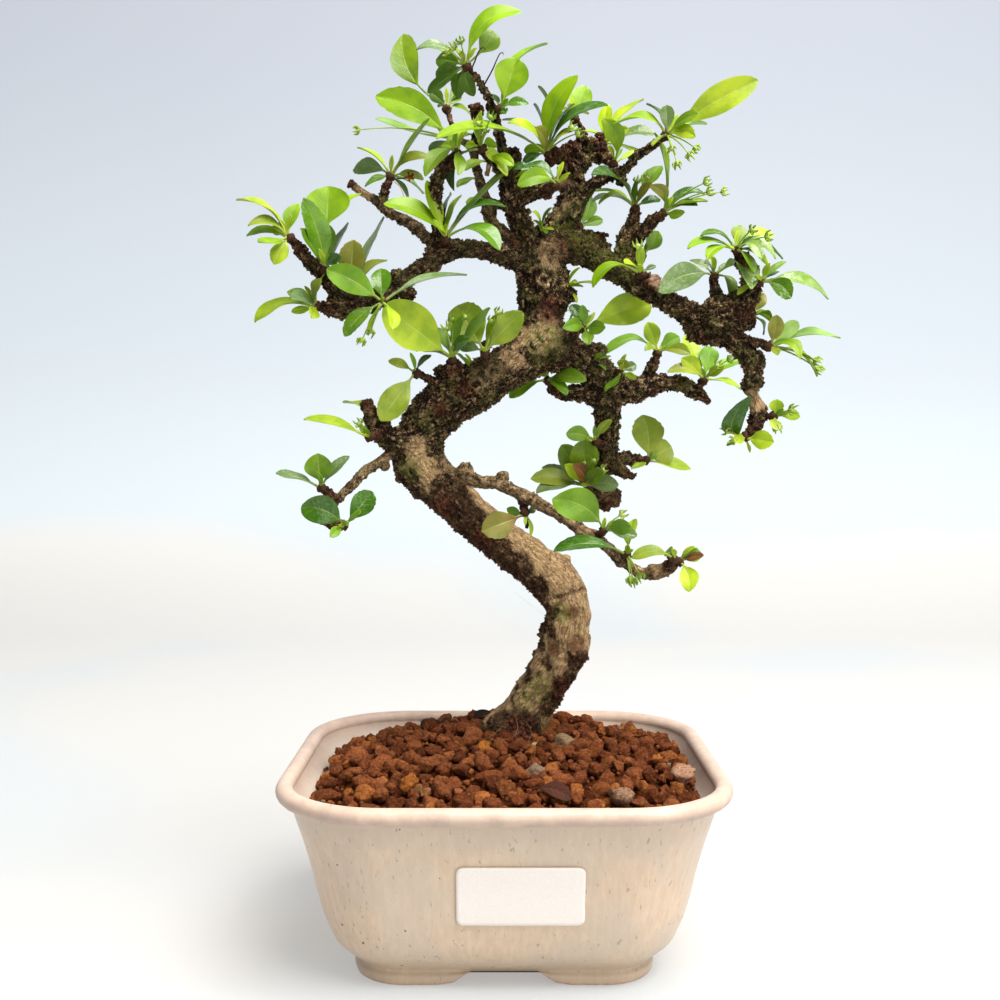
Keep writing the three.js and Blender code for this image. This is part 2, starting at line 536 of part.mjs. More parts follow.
function lipRings() {
  const rings = [];
  for (let step = 0; step <= LIP_STEPS; step++) {
    const angle = THREE.MathUtils.degToRad(LIP_START + step * LIP_TURN / LIP_STEPS);
    const half = LIP_CENTRE + LIP_RADIUS * Math.cos(angle);
    rings.push(roundedRing(half, RIM_HEIGHT + LIP_RADIUS * Math.sin(angle)));
  }
  return rings;
}

// The arch between two feet: an opening with rounded shoulders that flares out to the ground
const ARCH_EASE = 1.5;
const BELOW = 1;

function archCutter(alongX) {
  const half = ARCH_WIDTH / 2;
  const shoulder = half - FOOT_HEIGHT;
  const shape = new THREE.Shape();
  shape.moveTo(-half - 2 * BELOW, -BELOW);
  shape.lineTo(-half, 0);
  shape.bezierCurveTo(-shoulder - ARCH_EASE, 0, -half + ARCH_EASE, FOOT_HEIGHT, -shoulder, FOOT_HEIGHT);
  shape.lineTo(shoulder, FOOT_HEIGHT);
  shape.bezierCurveTo(half - ARCH_EASE, FOOT_HEIGHT, shoulder + ARCH_EASE, 0, half, 0);
  shape.lineTo(half + 2 * BELOW, -BELOW);
  const options = { depth: RIM_WIDTH, bevelEnabled: false, curveSegments: 4 };
  const geometry = new THREE.ExtrudeGeometry(shape, options);
  geometry.translate(0, 0, -RIM_WIDTH / 2);
  geometry.rotateX(Math.PI / 2);
  if (alongX) geometry.rotateZ(Math.PI / 2);
  return solid(geometry);
}

function makePot() {
  const outside = OUTSIDE.map(([half, height]) => roundedRing(half, height));
  const inside = INSIDE.map(([half, height]) => roundedRing(half, height));
  const bowl = loft([...outside, ...lipRings(), ...inside]);
  const underside = loft([roundedRing(FOOT_INNER, -BELOW), roundedRing(FOOT_INNER, FOOT_HEIGHT)]);
  const drain = new THREE.CylinderGeometry(DRAIN_RADIUS, DRAIN_RADIUS, 3 * FLOOR_TOP, 20);
  drain.rotateX(Math.PI / 2);
  return bowl.subtract(underside).subtract(archCutter(false)).subtract(archCutter(true))
    .subtract(solid(drain));
}

// Paper label that follows the front wall
function makeLabel() {
  const wall = (grow) => loft(OUTSIDE.map(([half, height]) => roundedRing(half, height, grow)));
  const block = new THREE.BoxGeometry(LABEL.width, RIM_DEPTH / 2, LABEL.high - LABEL.low);
  block.translate(LABEL.right, -RIM_DEPTH / 2, (LABEL.high + LABEL.low) / 2);
  return wall(GAP + LABEL.thickness).subtract(wall(GAP)).intersect(solid(block));
}

// Plastic mesh over the drainage hole: crossed strips
const MESH_HALF = 13;
const MESH_THICKNESS = 1.2;
const STRIP_WIDTH = 2;
const STRIP_PITCH = 9;

function makeDrainMesh() {
  const strips = [];
  for (let step = -1; step <= 1; step++) {
    const lengthways = new THREE.BoxGeometry(2 * MESH_HALF, STRIP_WIDTH, MESH_THICKNESS);
    const crossways = new THREE.BoxGeometry(STRIP_WIDTH, 2 * MESH_HALF, MESH_THICKNESS);
    lengthways.translate(0, step * STRIP_PITCH, 0);
    crossways.translate(step * STRIP_PITCH, 0, 0);
    strips.push(solid(lengthways), solid(crossways));
  }
  return join(strips).translate([0, 0, FLOOR_TOP + GAP + MESH_THICKNESS / 2]);
}

// Wood

const FEWEST_SIDES = 4;
const MOST_SIDES = 10;
const STEEP = 0.2;               // a bar nearly along its own reference direction takes another one

// Round bar with a changing radius through [right, depth, up, radius] points
function bar(route, relief = 0, grow = 0) {
  const centres = route.map(([right, depth, up]) => place(right, depth, up));
  const thickest = Math.max(...route.map((point) => point[3]));
  const sides = Math.min(FEWEST_SIDES + Math.floor((thickest - 1) / 2), MOST_SIDES);
  const rings = [];
  let side = new THREE.Vector3(0, 1, 0);
  for (let i = 0; i < centres.length; i++) {
    const before = centres[Math.max(i - 1, 0)];
    const after = centres[Math.min(i + 1, centres.length - 1)];
    const along = after.clone().sub(before).normalize();
    side = side.clone().addScaledVector(along, -side.dot(along));
    if (side.length() < STEEP) side = new THREE.Vector3(1, 0, 0).addScaledVector(along, -along.x);
    side.normalize();
    const across = along.clone().cross(side);
    const ring = [];
    for (let k = 0; k < sides; k++) {
      const angle = 2 * Math.PI * k / sides;
      const radius = route[i][3] * (1 + relief * (random() - 0.5)) + grow;
      ring.push(centres[i].clone()
        .addScaledVector(side, radius * Math.cos(angle))
        .addScaledVector(across, radius * Math.sin(angle)));
    }
    rings.push(ring);
  }
  return loft(rings);
}

const BIG_KNOB = 4.2;

// Knobs are turned by their own place, so that no two look alike
function knob([right, depth, up, radius]) {
  const geometry = new THREE.IcosahedronGeometry(radius, radius > BIG_KNOB ? 1 : 0);
  geometry.rotateX(right);
  geometry.rotateZ(up);
  const centre = place(right, depth, up);
  geometry.translate(centre.x, centre.y, centre.z);
  return solid(geometry);
}

function roots(grow) {
  const stump = bar([...ROOT_STUMP, ROOT_FORK], 0, grow);
  const [forkRight, forkDepth, forkUp] = ROOT_FORK;
  const arms = ROOT_ENDS.map((end) => {
    const [right, depth, up] = end;
    const start = [forkRight, forkDepth, forkUp, ROOT_RADIUS];
    const middle = [(right + forkRight) / 2, (depth + forkDepth) / 2, (up + forkUp) / 2, ROOT_RADIUS * 0.6];
    return bar([start, middle, end], 0, grow);
  });
  return join([stump, ...arms]);
}

// The knot of buds sits just clear of the twig's end
function twigEnd(route) {
  const end = place(...route[route.length - 1]);
  const before = place(...route[route.length - 2]);
  const along = end.clone().sub(before).normalize();
  return { along, centre: end.clone().addScaledVector(along, HUB_RADIUS + GAP) };
}

function hub(route) {
  const geometry = new THREE.OctahedronGeometry(HUB_RADIUS, 0);
  const { along, centre } = twigEnd(route);
  geometry.applyQuaternion(new THREE.Quaternion().setFromUnitVectors(new THREE.Vector3(0, 1, 0), along));
  geometry.translate(centre.x, centre.y, centre.z);
  return solid(geometry);
}

function makeTree() {
  const bars = BRANCHES.map((branch) => bar(branch.route, BARK_RELIEF));
  return mainShell(join([...bars, ...KNOBS.map(knob), roots(0)]));
}

// Leaves

// A spoon-shaped blade: share of the width at each share of the length, for leaves of three lengths
const LONG = 20;
const SHORT = 11;
const LONG_BLADE = [[0, 0.14], [0.36, 0.5], [0.64, 1], [0.87, 0.8]];
const SHORT_BLADE = [[0, 0.2], [0.5, 0.9], [0.85, 0.75]];
const YOUNG_BLADE = [[0, 0.3], [0.6, 1]];
const STALK_WIDTH = 0.9;
const CROWNING = 0.08;           // rise of the middle toward the upper face, as a share of the length
const CLEAR_OF_TWIG = 0.4;       // a leaf that points back along its twig first grows outward
const TURN = 0.25;
const ROOT_SHARE = 0.5;          // where a stalk starts between the middle and the skin of its knot of buds
const FULL_WIDTH = 0.4;          // a leaf's real width as a share of its length
const WIDEST = 9;                // unless it is seen wider
const FOLD = 0.2;                // how far its edges stand above its middle, as a share of its half width

function blade(base, tip, seenWidth, arch, twigAlong) {
  const chord = tip.clone().sub(base);
  const length = chord.length();
  const along = chord.clone().normalize();
  const toViewer = new THREE.Vector3(0, -1, 0).addScaledVector(along, along.y).normalize();
  const upward = along.clone().cross(toViewer);
  if (upward.z < 0) upward.negate();
  const width = Math.max(seenWidth, Math.min(FULL_WIDTH * length, WIDEST));
  const facing = Math.min(seenWidth / width, 1);
  const turned = Math.sqrt(1 - facing * facing);
  const face = toViewer.clone().multiplyScalar(facing).addScaledVector(upward, turned);
  const sideways = along.clone().cross(face);
  const turnBack = Math.max(0, CLEAR_OF_TWIG - along.dot(twigAlong));
  const bend = base.clone().add(tip).multiplyScalar(0.5)
    .addScaledVector(upward, arch * length)
    .addScaledVector(face, CROWNING * length)
    .addScaledVector(twigAlong, TURN * turnBack * length);
  const curve = new THREE.QuadraticBezierCurve3(base, bend, tip);
  const stations = length > LONG ? LONG_BLADE : length > SHORT ? SHORT_BLADE : YOUNG_BLADE;
  const rings = stations.map(([share, widthShare]) => {
    const middle = curve.getPoint(share);
    const half = Math.max(widthShare * width, STALK_WIDTH) / 2;
    const lift = FOLD * half;
    return [
      middle.clone().addScaledVector(sideways, -half).addScaledVector(face, lift),
      middle.clone().addScaledVector(sideways, half).addScaledVector(face, lift),
      middle.clone().addScaledVector(face, -BLADE_THICKNESS),
    ];
  });
  return bladeSolid(rings, tip);
}

// The rings, capped at the stalk and drawn together to a point at the tip
function bladeSolid(rings, tip) {
  const positions = [];
  const index = [];
  for (const ring of rings) {
    for (const point of ring) positions.push(point.x, point.y, point.z);
  }
  positions.push(tip.x, tip.y, tip.z);
  for (let level = 0; level + 1 < rings.length; level++) {
    for (let i = 0; i < 3; i++) {
      const a = level * 3 + i;
      const b = level * 3 + (i + 1) % 3;
      index.push(a, b, b + 3, a, b + 3, a + 3);
    }
  }
  const last = (rings.length - 1) * 3;
  const end = rings.length * 3;
  for (let i = 0; i < 3; i++) index.push(last + i, last + (i + 1) % 3, end);
  index.push(0, 2, 1);
  const geometry = new THREE.BufferGeometry();
  geometry.setAttribute('position', new THREE.BufferAttribute(new Float32Array(positions), 3));
  geometry.setIndex(index);
  return solid(geometry);
}

function makeWhorl(branch) {
  const [right, depth, up] = branch.route[branch.route.length - 1];
  const { along, centre } = twigEnd(branch.route);
  const blades = branch.leaves.map(([dx, dy, dz, width, arch]) => {
    const tip = place(right + dx, depth + dy, up + dz);
    const outward = tip.clone().sub(centre).normalize();
    const root = centre.clone().addScaledVector(outward, HUB_RADIUS * ROOT_SHARE);
    return blade(root, tip, width, arch, along);
  });
  return mainShell(join([hub(branch.route), ...blades]));
}

// Soil

function soilHeight(x, y) {
  const trunk = place(2, 20, SOIL_CROWN);
  const away = Math.hypot(x - trunk.x, y - trunk.y) / (RIM_WIDTH / 2);
  return SOIL_EDGE + (SOIL_CROWN - SOIL_EDGE) * Math.max(0, 1 - away * away);
}

// Rubble: the same height for the same place, whichever face of the slab asks for it
function reliefAt(x, y) {
  const wave = Math.sin(x * 12.9898 + y * 78.233) * 43758.5453;
  return wave - Math.floor(wave) - 0.5;
}

const FLARE_POINTS = 4;          // points of the trunk's route that reach down into the soil

function makeSoil() {
  const inner = INSIDE.slice().reverse().map(([half, height]) => roundedRing(half - GAP, height + GAP));
  const lipInner = LIP_CENTRE - LIP_RADIUS - GAP;
  const above = RIM_HEIGHT + SOIL_CROWN;
  const envelope = loft([...inner, roundedRing(lipInner, RIM_HEIGHT), roundedRing(lipInner, above)]);
  const columns = Math.round(RIM_WIDTH / GRAIN_PITCH);
  const rows = Math.round(RIM_DEPTH / GRAIN_PITCH);
  const slab = new THREE.BoxGeometry(RIM_WIDTH, RIM_DEPTH, SOIL_EDGE, columns, rows, 1);
  const points = slab.attributes.position;
  for (let i = 0; i < points.count; i++) {
    if (points.getZ(i) < 0) {
      points.setZ(i, 0);
      continue;
    }
    const x = points.getX(i);
    const y = points.getY(i);
    points.setZ(i, soilHeight(x, y) + GRAIN_RELIEF * reliefAt(x, y));
  }
  const flare = BRANCHES[0].route.slice(0, FLARE_POINTS);
  const bark = 1 + BARK_RELIEF / 2;
  const clear = flare.map(([right, depth, up, radius]) => [right, depth, up, radius * bark]);
  const trunkHole = bar(clear, 0, GAP);
  const pocketWidth = 2 * (MESH_HALF + GAP);
  const pocketDepth = MESH_THICKNESS + 2 * GAP;
  const meshPocket = new THREE.BoxGeometry(pocketWidth, pocketWidth, 2 * pocketDepth);
  meshPocket.translate(0, 0, FLOOR_TOP);
  return mainShell(solid(slab).intersect(envelope)
    .subtract(trunkHole).subtract(roots(GAP)).subtract(solid(meshPocket)));
}

// The whole plant, moved so that the middle of its box's underside is the origin

const group = new THREE.Group();
group.add(mesh('pot', makePot(), 0xcdbfa8, 0.35));
group.add(mesh('label', makeLabel(), 0xf8f0ea, 0.8));
group.add(mesh('drain_mesh', makeDrainMesh(), 0x33363a, 0.6));
group.add(mesh('soil', makeSoil(), 0x8b4a2f, 0.95));
group.add(mesh('tree', makeTree(), 0x7a6248, 0.9));
for (const branch of BRANCHES) {
  if (branch.leaves) group.add(mesh(`${branch.name}_leaves`, makeWhorl(branch), 0x78a428, 0.5));
}
const box = new THREE.Box3().setFromObject(group);
const middle = box.getCenter(new THREE.Vector3());
group.position.set(-middle.x, -middle.y, -box.min.z);
group.updateMatrixWorld(true);

export default group;
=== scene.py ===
"""A fukien tea bonsai in its glazed pot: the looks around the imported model, in metres.

The tree, the soil, the pot and every whorl of leaves are modelled again with finer surfaces, each in the
place of its plain solid. Places on the plant are given as in its source: millimetres on the upright plane
through the pot's centre, as the viewer sees them, with a depth behind that plane.
"""
import math
import random

import bmesh
import bpy
import numpy as np
from mathutils import Matrix, Vector, noise
from mathutils.kdtree import KDTree


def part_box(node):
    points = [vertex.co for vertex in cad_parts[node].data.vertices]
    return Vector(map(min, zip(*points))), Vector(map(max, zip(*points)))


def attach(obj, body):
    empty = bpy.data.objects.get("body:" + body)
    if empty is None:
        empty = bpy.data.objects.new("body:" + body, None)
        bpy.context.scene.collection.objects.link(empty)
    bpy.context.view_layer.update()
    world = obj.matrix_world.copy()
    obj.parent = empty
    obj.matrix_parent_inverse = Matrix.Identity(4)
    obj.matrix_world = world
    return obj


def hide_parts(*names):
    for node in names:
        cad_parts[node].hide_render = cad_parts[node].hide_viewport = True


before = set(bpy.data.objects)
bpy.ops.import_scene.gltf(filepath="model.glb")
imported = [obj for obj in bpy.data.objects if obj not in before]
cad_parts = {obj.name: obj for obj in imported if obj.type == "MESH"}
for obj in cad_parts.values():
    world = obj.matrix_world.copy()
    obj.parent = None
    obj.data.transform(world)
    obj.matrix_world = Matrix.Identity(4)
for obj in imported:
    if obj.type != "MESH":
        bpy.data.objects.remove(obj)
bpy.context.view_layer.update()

MM = 0.001
POT_LOW, POT_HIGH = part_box("pot")
CENTRE = Vector(((POT_LOW.x + POT_HIGH.x) / 2, (POT_LOW.y + POT_HIGH.y) / 2, POT_LOW.z))
EYE_FORWARD = 423        # the viewer's eye stands this far in front of the pot's centre,
EYE_UP = 175             # at this height

# Sizes in millimetres that the solids have too
RIM_HALF = (POT_HIGH.x - POT_LOW.x) / 2 / MM
DEPTH_DIFFERENCE = RIM_HALF - (POT_HIGH.y - POT_LOW.y) / 2 / MM
LIP_RADIUS = 2.8
RIM_HEIGHT = POT_HIGH.z / MM - LIP_RADIUS
RIM_CORNER = 37
FOOT_CORNER = 17
FOOT_HEIGHT = 4.8
FOOT_INNER = 40
FLOOR_TOP = 10
ARCH_HALF = 17
DRAIN_RADIUS = 8
SOIL_EDGE = 62
SOIL_CROWN = 68.5
HUB_RADIUS = 1.7         # knot of buds that the leaves spring from
GAP = 0.3                # clearance between pieces that touch
RIM_ANGLE = 75           # degrees between the two sides of a blade, from which their rim looks sharp

# The routes of trunk, boughs and twigs as [right, depth, up, radius], and the leaves on their ends as
# [right, depth, up] from the end to the leaf's tip, width seen, arch and kind
BRANCHES = [
    dict(name="trunk", route=[
        [2.5, 20, 68.5, 11.5], [3.5, 20, 72, 12], [6, 20, 76, 10], [10, 19, 83, 8.75], [14.5, 18, 90, 8.5],
        [18.5, 17, 97, 8.75], [21.5, 17, 102.5, 9.25], [22, 16, 108.5, 8.75], [23, 16, 115.5, 8],
        [21, 16, 121.5, 8.25], [18.5, 15, 126, 8.75], [15, 15, 129, 8.5], [10, 14, 133, 8],
        [4, 14, 137.5, 7.75], [-4.5, 13, 144, 7.5], [-11.5, 13, 149.5, 7.5], [-19, 12, 157, 8],
        [-25.5, 12, 162.5, 8.75], [-29.5, 12, 168, 9.25], [-29.5, 12, 174, 8.5], [-28.5, 11, 180.5, 8],
        [-24, 11, 185.5, 8.75], [-17.5, 10, 191.5, 8.75], [-9.5, 10, 195, 8.5], [-1.5, 11, 200, 7.75],
        [6, 12, 205, 8.5], [13, 12, 212, 9.25], [13, 12, 218, 7.5], [13.5, 12, 225, 8.5],
        [14, 12, 230.5, 9.25], [12.5, 12, 237.5, 8.5], [14.5, 12, 244, 7.75]
    ]),
    dict(name="left_low_bough", route=[
        [12, 12, 237.5, 5.25], [0.5, 10, 240.5, 3.75], [-8.5, 6, 242.5, 2.75], [-17.5, 2, 242.5, 3.25],
        [-22.5, -2, 240.5, 3.5], [-28, -4, 236.5, 3], [-35, -6, 232, 3], [-41, -8, 227.5, 3],
        [-47, -10, 224.5, 3.25], [-54.5, -11, 222.5, 3.25], [-60.5, -12, 222, 2.75],
        [-64, -12, 222.5, 1.75]
    ], leaves=[
        [-23.5, -6, -5, 5, 0.3, "y"], [-12, -8, 5.5, 4.5, 0.15, "n"], [-11, -14, 3.5, 4, 0.12, "g"],
        [-10.5, -3, -1.5, 3, -0.05, "y"], [0, -8, 10, 3.5, 0.05, "o"], [2.5, -6, 13.5, 2, 0, "o"],
        [-3.5, -11, -3.5, 3, 0.1, "y"]
    ]),
    dict(name="left_low_arm", route=[
        [-56, -11, 224, 2.75], [-59.5, -12, 228.5, 2.25], [-64, -14, 234, 2.25], [-68.5, -16, 239, 2],
        [-72, -18, 243.5, 2], [-74, -19, 245.5, 1.5]
    ], leaves=[
        [-19.5, -3, 14.5, 2, 0.3, "l"], [-15.5, -6, 5.5, 3.5, 0.45, "o"], [-16, 3, 2, 4, 0.2, "v"],
        [-12, -12, 0, 4, -0.2, "v"], [-6.5, 6, 5, 5, 0.1, "n"], [-6.5, -5, -8, 6, -0.15, "y"],
        [2.5, 2, 13, 5, 0.22, "v"]
    ]),
    dict(name="left_high_bough", route=[
        [-22.5, 0, 242, 2.5], [-26, 4, 246, 2], [-33, 10, 252, 2], [-40, 16, 255.5, 1.75],
        [-45.5, 20, 260, 1.5], [-51, 24, 263.5, 1.5], [-53.5, 26, 265.5, 1.5]
    ]),
    dict(name="left_high_spur", route=[
        [-42.5, 17, 257, 1.5], [-41.5, 18, 262.5, 1.5], [-40, 18, 266.5, 1.25]
    ], leaves=[
        [-11, 1, 11.5, 2, 0.14, "y"], [14, -4, 21.5, 3, -0.05, "n"], [15.5, 1, 7.5, 4.6, 0.35, "o"],
        [-12.5, 7, 3.5, 6.5, 0.15, "g"], [-8.5, -3, -2, 3, -0.1, "e"], [12, 3, 0.5, 4, 0.12, "o"],
        [12, 14, -4.5, 3, 0, "p"], [7, 10, -7, 2.5, -0.1, "g"]
    ]),
    dict(name="left_fork_spur", route=[
        [-22.5, 0, 244, 2.75], [-22.5, -4, 252, 2.25], [-23.5, -6, 258, 2], [-24, -8, 263.5, 2],
        [-22.5, -10, 269, 2], [-19, -12, 273, 2], [-17.5, -12, 275, 1.5]
    ], leaves=[
        [-10, -10, -7, 5.5, 0.2, "n"], [1.5, -8, -6.5, 4, -0.1, "n"], [3, -3, 6.5, 1.5, 0.05, "l"],
        [-2.5, -4, 5, 2, 0.1, "l"], [8.5, 3, 13, 2, 0.1, "y"], [-4.5, 5, 3.5, 3, 0.1, "n"]
    ]),
    dict(name="left_fork_bud", route=[
        [-21, 0, 242.5, 1.5], [-20.5, -6, 246, 1.25]
    ], leaves=[
        [-21.5, -8, 12.5, 6.5, 0.2, "v"], [-6.5, -3, 20.5, 5, -0.1, "n"], [21, -3, 11.5, 4, 0.35, "d"],
        [19, -11, -3.5, 5.5, 0.45, "e"], [24.5, 8, 26, 3.5, -0.04, "n"], [5.5, 6, 15.5, 3, 0.05, "y"],
        [2, 7, 16, 3, 0.1, "d"], [-2, -6, 4, 1.5, 0.05, "l"]
    ]),
    dict(name="crown_left", route=[
        [12.5, 12, 240.5, 5.25], [8, 11, 247.5, 4], [4.5, 10, 254.5, 3.5], [2, 9, 262.5, 3.25],
        [2.5, 9, 268.5, 3.25], [3, 8, 273.5, 2.75]
    ]),
    dict(name="crown_tip_twig", route=[
        [1.5, 9, 269.5, 1.75], [-0.5, 7, 277, 1.5], [-2, 5, 284, 1.5], [-3.5, 3, 290, 1.5],
        [-6, 1, 296, 1.25], [-9, -1, 301, 1.25], [-12, -3, 304.5, 1]
    ], leaves=[
        [18, -3, 20, 7.5, 0.3, "v"], [8.5, 3, 13, 8, -0.25, "n", 0.35], [-18.5, -5, 7, 4, 0.3, "g"],
        [-11.5, 6, 3.5, 7, 0.05, "s"], [-11.5, 5, -3, 7, -0.05, "s"], [-14.5, 1, -8, 5, -0.1, "s"],
        [1.5, 5, -9, 5.5, -0.1, "s"], [-4, 9, -10, 5.5, -0.05, "s"], [2.5, -4, 7.5, 2, 0.05, "l"],
        [-3, -5, 6.5, 2, 0, "l"]
    ]),
    dict(name="crown_back_twig", route=[
        [0.5, 10, 257.5, 1.75], [-6, 13, 260, 1.5], [-9, 16, 268.5, 1.5], [-11, 18, 277, 1.5],
        [-15, 20, 280.5, 1.25], [-17.5, 21, 284, 1], [-19.5, 23, 290, 1]
    ], leaves=[
        [-15.5, 5, 26.5, 11.5, -0.32, "n", 0.36], [4.5, 5, 6, 4, 0.05, "n"], [8, 8, 10, 5.5, 0.1, "s"],
        [8, 7, -0.5, 3, 0.1, "n"], [-3, 4, 3, 3.5, 0.1, "s"], [-6, -1, 7, 5, 0.1, "s"]
    ]),
    dict(name="crown_front_twig", route=[
        [2, 8, 266, 1.5], [-2.5, 0, 271, 1.25], [-7, -5, 276.5, 1.25]
    ], leaves=[
        [-10.5, -4, -13.5, 4.5, 0.45, "k"], [-1, -2, 14, 3, 0.05, "y"], [5.5, 3, -4, 4, 0.1, "y"],
        [4.5, 5, 2, 4, 0.1, "v"], [-6.5, 3, 2, 3, 0.1, "y"], [-3.5, 4, 7.5, 2, 0, "y"],
        [2, 4, 7.5, 2, 0, "l"]
    ]),
    dict(name="crown_cross_twig", route=[
        [4.5, 9, 259, 1.75], [12.5, 2, 262, 1.5], [17, -2, 264.5, 1.5]
    ], leaves=[
        [-12.5, -8, 0.5, 6, 0.3, "v"], [-9.5, -2, 1, 3.5, 0.1, "s"], [-10.5, 0, 7, 4, 0.2, "d"]
    ]),
    dict(name="crown_mid", route=[
        [15.5, 13, 246, 6.25], [20.5, 14, 252, 4.75], [23.5, 15, 259, 4.5], [24, 16, 265, 4],
        [23.5, 16, 270, 3.5], [22, 16, 274.5, 2.75]
    ]),
    dict(name="crown_mid_arm", route=[
        [24, 16, 268, 2.75], [28, 19, 273, 2.5], [31, 21, 276.5, 2.5], [33.5, 22, 278.5, 2]
    ], leaves=[
        [2.5, 4, 14, 5, 0, "x"], [15, 6, 16, 4, 0.1, "y"], [19, -3, 4, 5, 0.15, "g"],
        [10, -2, 6, 4.5, 0.1, "y"], [14.5, -5, -4.5, 3, 0.1, "y"], [-5.5, -4, 5, 1.5, 0.1, "y"],
        [4.5, -4, 8.5, 4, 0.1, "x"]
    ]),
    dict(name="crown_mid_stub", route=[
        [29.5, 21, 277.5, 1.5], [27, 22, 284.5, 1], [25.5, 22, 286.5, 1]
    ], leaves=[
        [3, 2, 12.5, 8, 0, "v", 0.06], [-3, -3, 9, 2, 0.1, "y"], [4, 6, 3, 2, 0.1, "o"]
    ]),
    dict(name="crown_mid_twig", route=[
        [19.5, 16, 273.5, 1.5], [16, 12, 275.5, 1.25]
    ], leaves=[
        [-39.5, -40, 5.5, 4.8, 0.15, "v", 0.1], [-14.5, -12, 11, 4, 0.25, "x"],
        [-5, -15, 9.5, 5, 0.1, "t"], [9.5, -10, 27, 7.5, 0.15, "v", 0.1], [20, -13, 17, 4.5, 0.18, "d"],
        [8.5, -3, 17.5, 1.5, 0.05, "e"], [-16.5, -1, 12, 2, 0.35, "n"], [-9.5, -4, -3, 3.5, 0.1, "d"],
        [-9, 0, 1.5, 4, 0.1, "v"], [-4, 0, 23.5, 2, 0.25, "n"], [-5.5, 4, 17.5, 1.5, 0.1, "e"],
        [7.5, -14, 8, 2.5, 0.1, "l"]
    ]),
    dict(name="right_high_twig", route=[
        [21, 13, 251, 3], [26, 9, 258, 2.5], [29, 6, 263.5, 2], [33, 4, 266.5, 2], [36.5, 2, 268, 2],
        [41.5, 0, 270, 1.5], [46, -3, 274.5, 1.5], [51.5, -6, 278.5, 1.25], [55, -7, 281, 1]
    ], leaves=[
        [33, -5, 20, 10, 0.06, "y", 0.15], [-17, 2, 5, 4, 0.2, "v"], [12.5, -9, 8.5, 4, 0.1, "n"],
        [-5.5, 3, 12, 2.5, 0.15, "e"], [1.5, -2, 11.5, 5, 0, "g"], [11.5, -10, 0.5, 5, 0.25, "y"],
        [15.5, 6, 5, 2, 0.1, "p"], [-3.5, -8, -2.5, 1.5, 0.05, "l"], [5.5, 0, 8, 4, 0.05, "y"]
    ]),
    dict(name="right_high_spur", route=[
        [35, 3, 267.5, 1.5], [37.5, 4, 271, 1]
    ], leaves=[
        [-3, -8, 17, 6.5, 0.35, "v"], [11, 6, 4, 3.5, 0.15, "y"], [-1.5, -4, 7.5, 2, 0.1, "l"]
    ]),
    dict(name="right_bough", route=[
        [14.5, 12, 243, 7], [24, 9, 243.5, 5.25], [30.5, 7, 241, 4.5], [36.5, 4, 237.5, 4.5],
        [42.5, 1, 234, 4.25], [49.5, -2, 229.5, 4.25], [57, -5, 225, 3.5], [64, -8, 220.5, 4],
        [70, -10, 216.5, 6], [77, -12, 213.5, 4.5], [82.5, -14, 209, 3.25], [86.5, -15, 204, 3],
        [87.5, -16, 199, 3], [86.5, -17, 194.5, 2.75], [88, -18, 191.5, 1.5], [89, -18, 188, 2.5],
        [89.5, -19, 184.5, 2.75], [87.5, -20, 180.5, 2], [86, -20, 178.5, 1.5]
    ], leaves=[
        [0, -12, 13, 7.5, -0.45, "d"], [9, -7, -3, 6.5, 0.2, "y"], [-7, -5, 1, 2.5, 0.1, "l"],
        [-5, -9, -3, 3.5, 0.1, "l"]
    ]),
    dict(name="right_spur_left", route=[
        [41, 2, 235, 4.25], [42.5, 4, 242.5, 3.5], [43.5, 5, 247.5, 3], [45, 6, 252, 2.5],
        [45.5, 6, 255.5, 1.5]
    ], leaves=[
        [-15, -17, 13, 3, 0.25, "d"], [-13.5, 5, 7.5, 2, 0.2, "y"], [-12.5, -4, 3, 2, 0.35, "n"],
        [9.5, 2, 16, 5.5, 0.1, "n", 0.35], [9, 4, 4.5, 3.5, 0.1, "d"], [6, -9, 10, 3, 0.1, "t"],
        [1, -5, 11, 2, 0.05, "e"], [-14.5, 7, 4, 1, 0.2, "g"]
    ]),
    dict(name="right_spur_right", route=[
        [44.5, 4, 244, 2.75], [49.5, 0, 250, 2.25], [54.5, -2, 254.5, 1.75]
    ], leaves=[
        [-2, -3, 28.5, 2.5, 0.1, "v"], [-3.5, -6, 10.5, 4.5, 0.45, "t"], [15.5, 1, 7.5, 4, 0.35, "d"],
        [13, -7, 3.5, 3, 0.2, "d"], [8.5, -7, 1, 3.5, -0.25, "n"], [16.5, -10, 5, 1, 0.05, "l"]
    ]),
    dict(name="right_dead_stub", route=[
        [22, 12, 247.5, 2], [28.5, 10, 248, 1.5], [34, 9, 247.5, 1], [37, 8, 248, 0.5]
    ]),
    dict(name="right_web", route=[
        [25, 10, 246, 2.75], [31.5, 9, 245, 3], [36, 6, 242.5, 1.5]
    ]),
    dict(name="right_cut_stub", route=[
        [51.5, -2, 230, 2], [53, -9, 231, 1.75]
    ]),
    dict(name="right_bud_spur", route=[
        [48, -2, 230, 1.75], [48, -5, 233, 1.5]
    ], leaves=[
        [-17, -7, -3.5, 3.5, 0.45, "v"], [-1, -6, 11, 3.5, 0, "y"], [5, -1, 4, 2, 0.1, "g"],
        [-6, -12, 5, 2, 0.1, "y"]
    ]),
    dict(name="right_knee", route=[
        [69, -10, 215.5, 5.25], [74.5, -10, 218, 7.5], [80.5, -11, 220.5, 6.75], [84, -12, 223, 4.25]
    ]),
    dict(name="right_knee_low", route=[
        [72, -10, 217.5, 6], [70, -11, 213.5, 4.25], [69, -12, 211, 2]
    ]),
    dict(name="right_up_near", route=[
        [77, -10, 222.5, 4], [74.5, -8, 226, 2.25], [73.5, -6, 230, 1.75], [73.5, -6, 232, 1.5]
    ], leaves=[
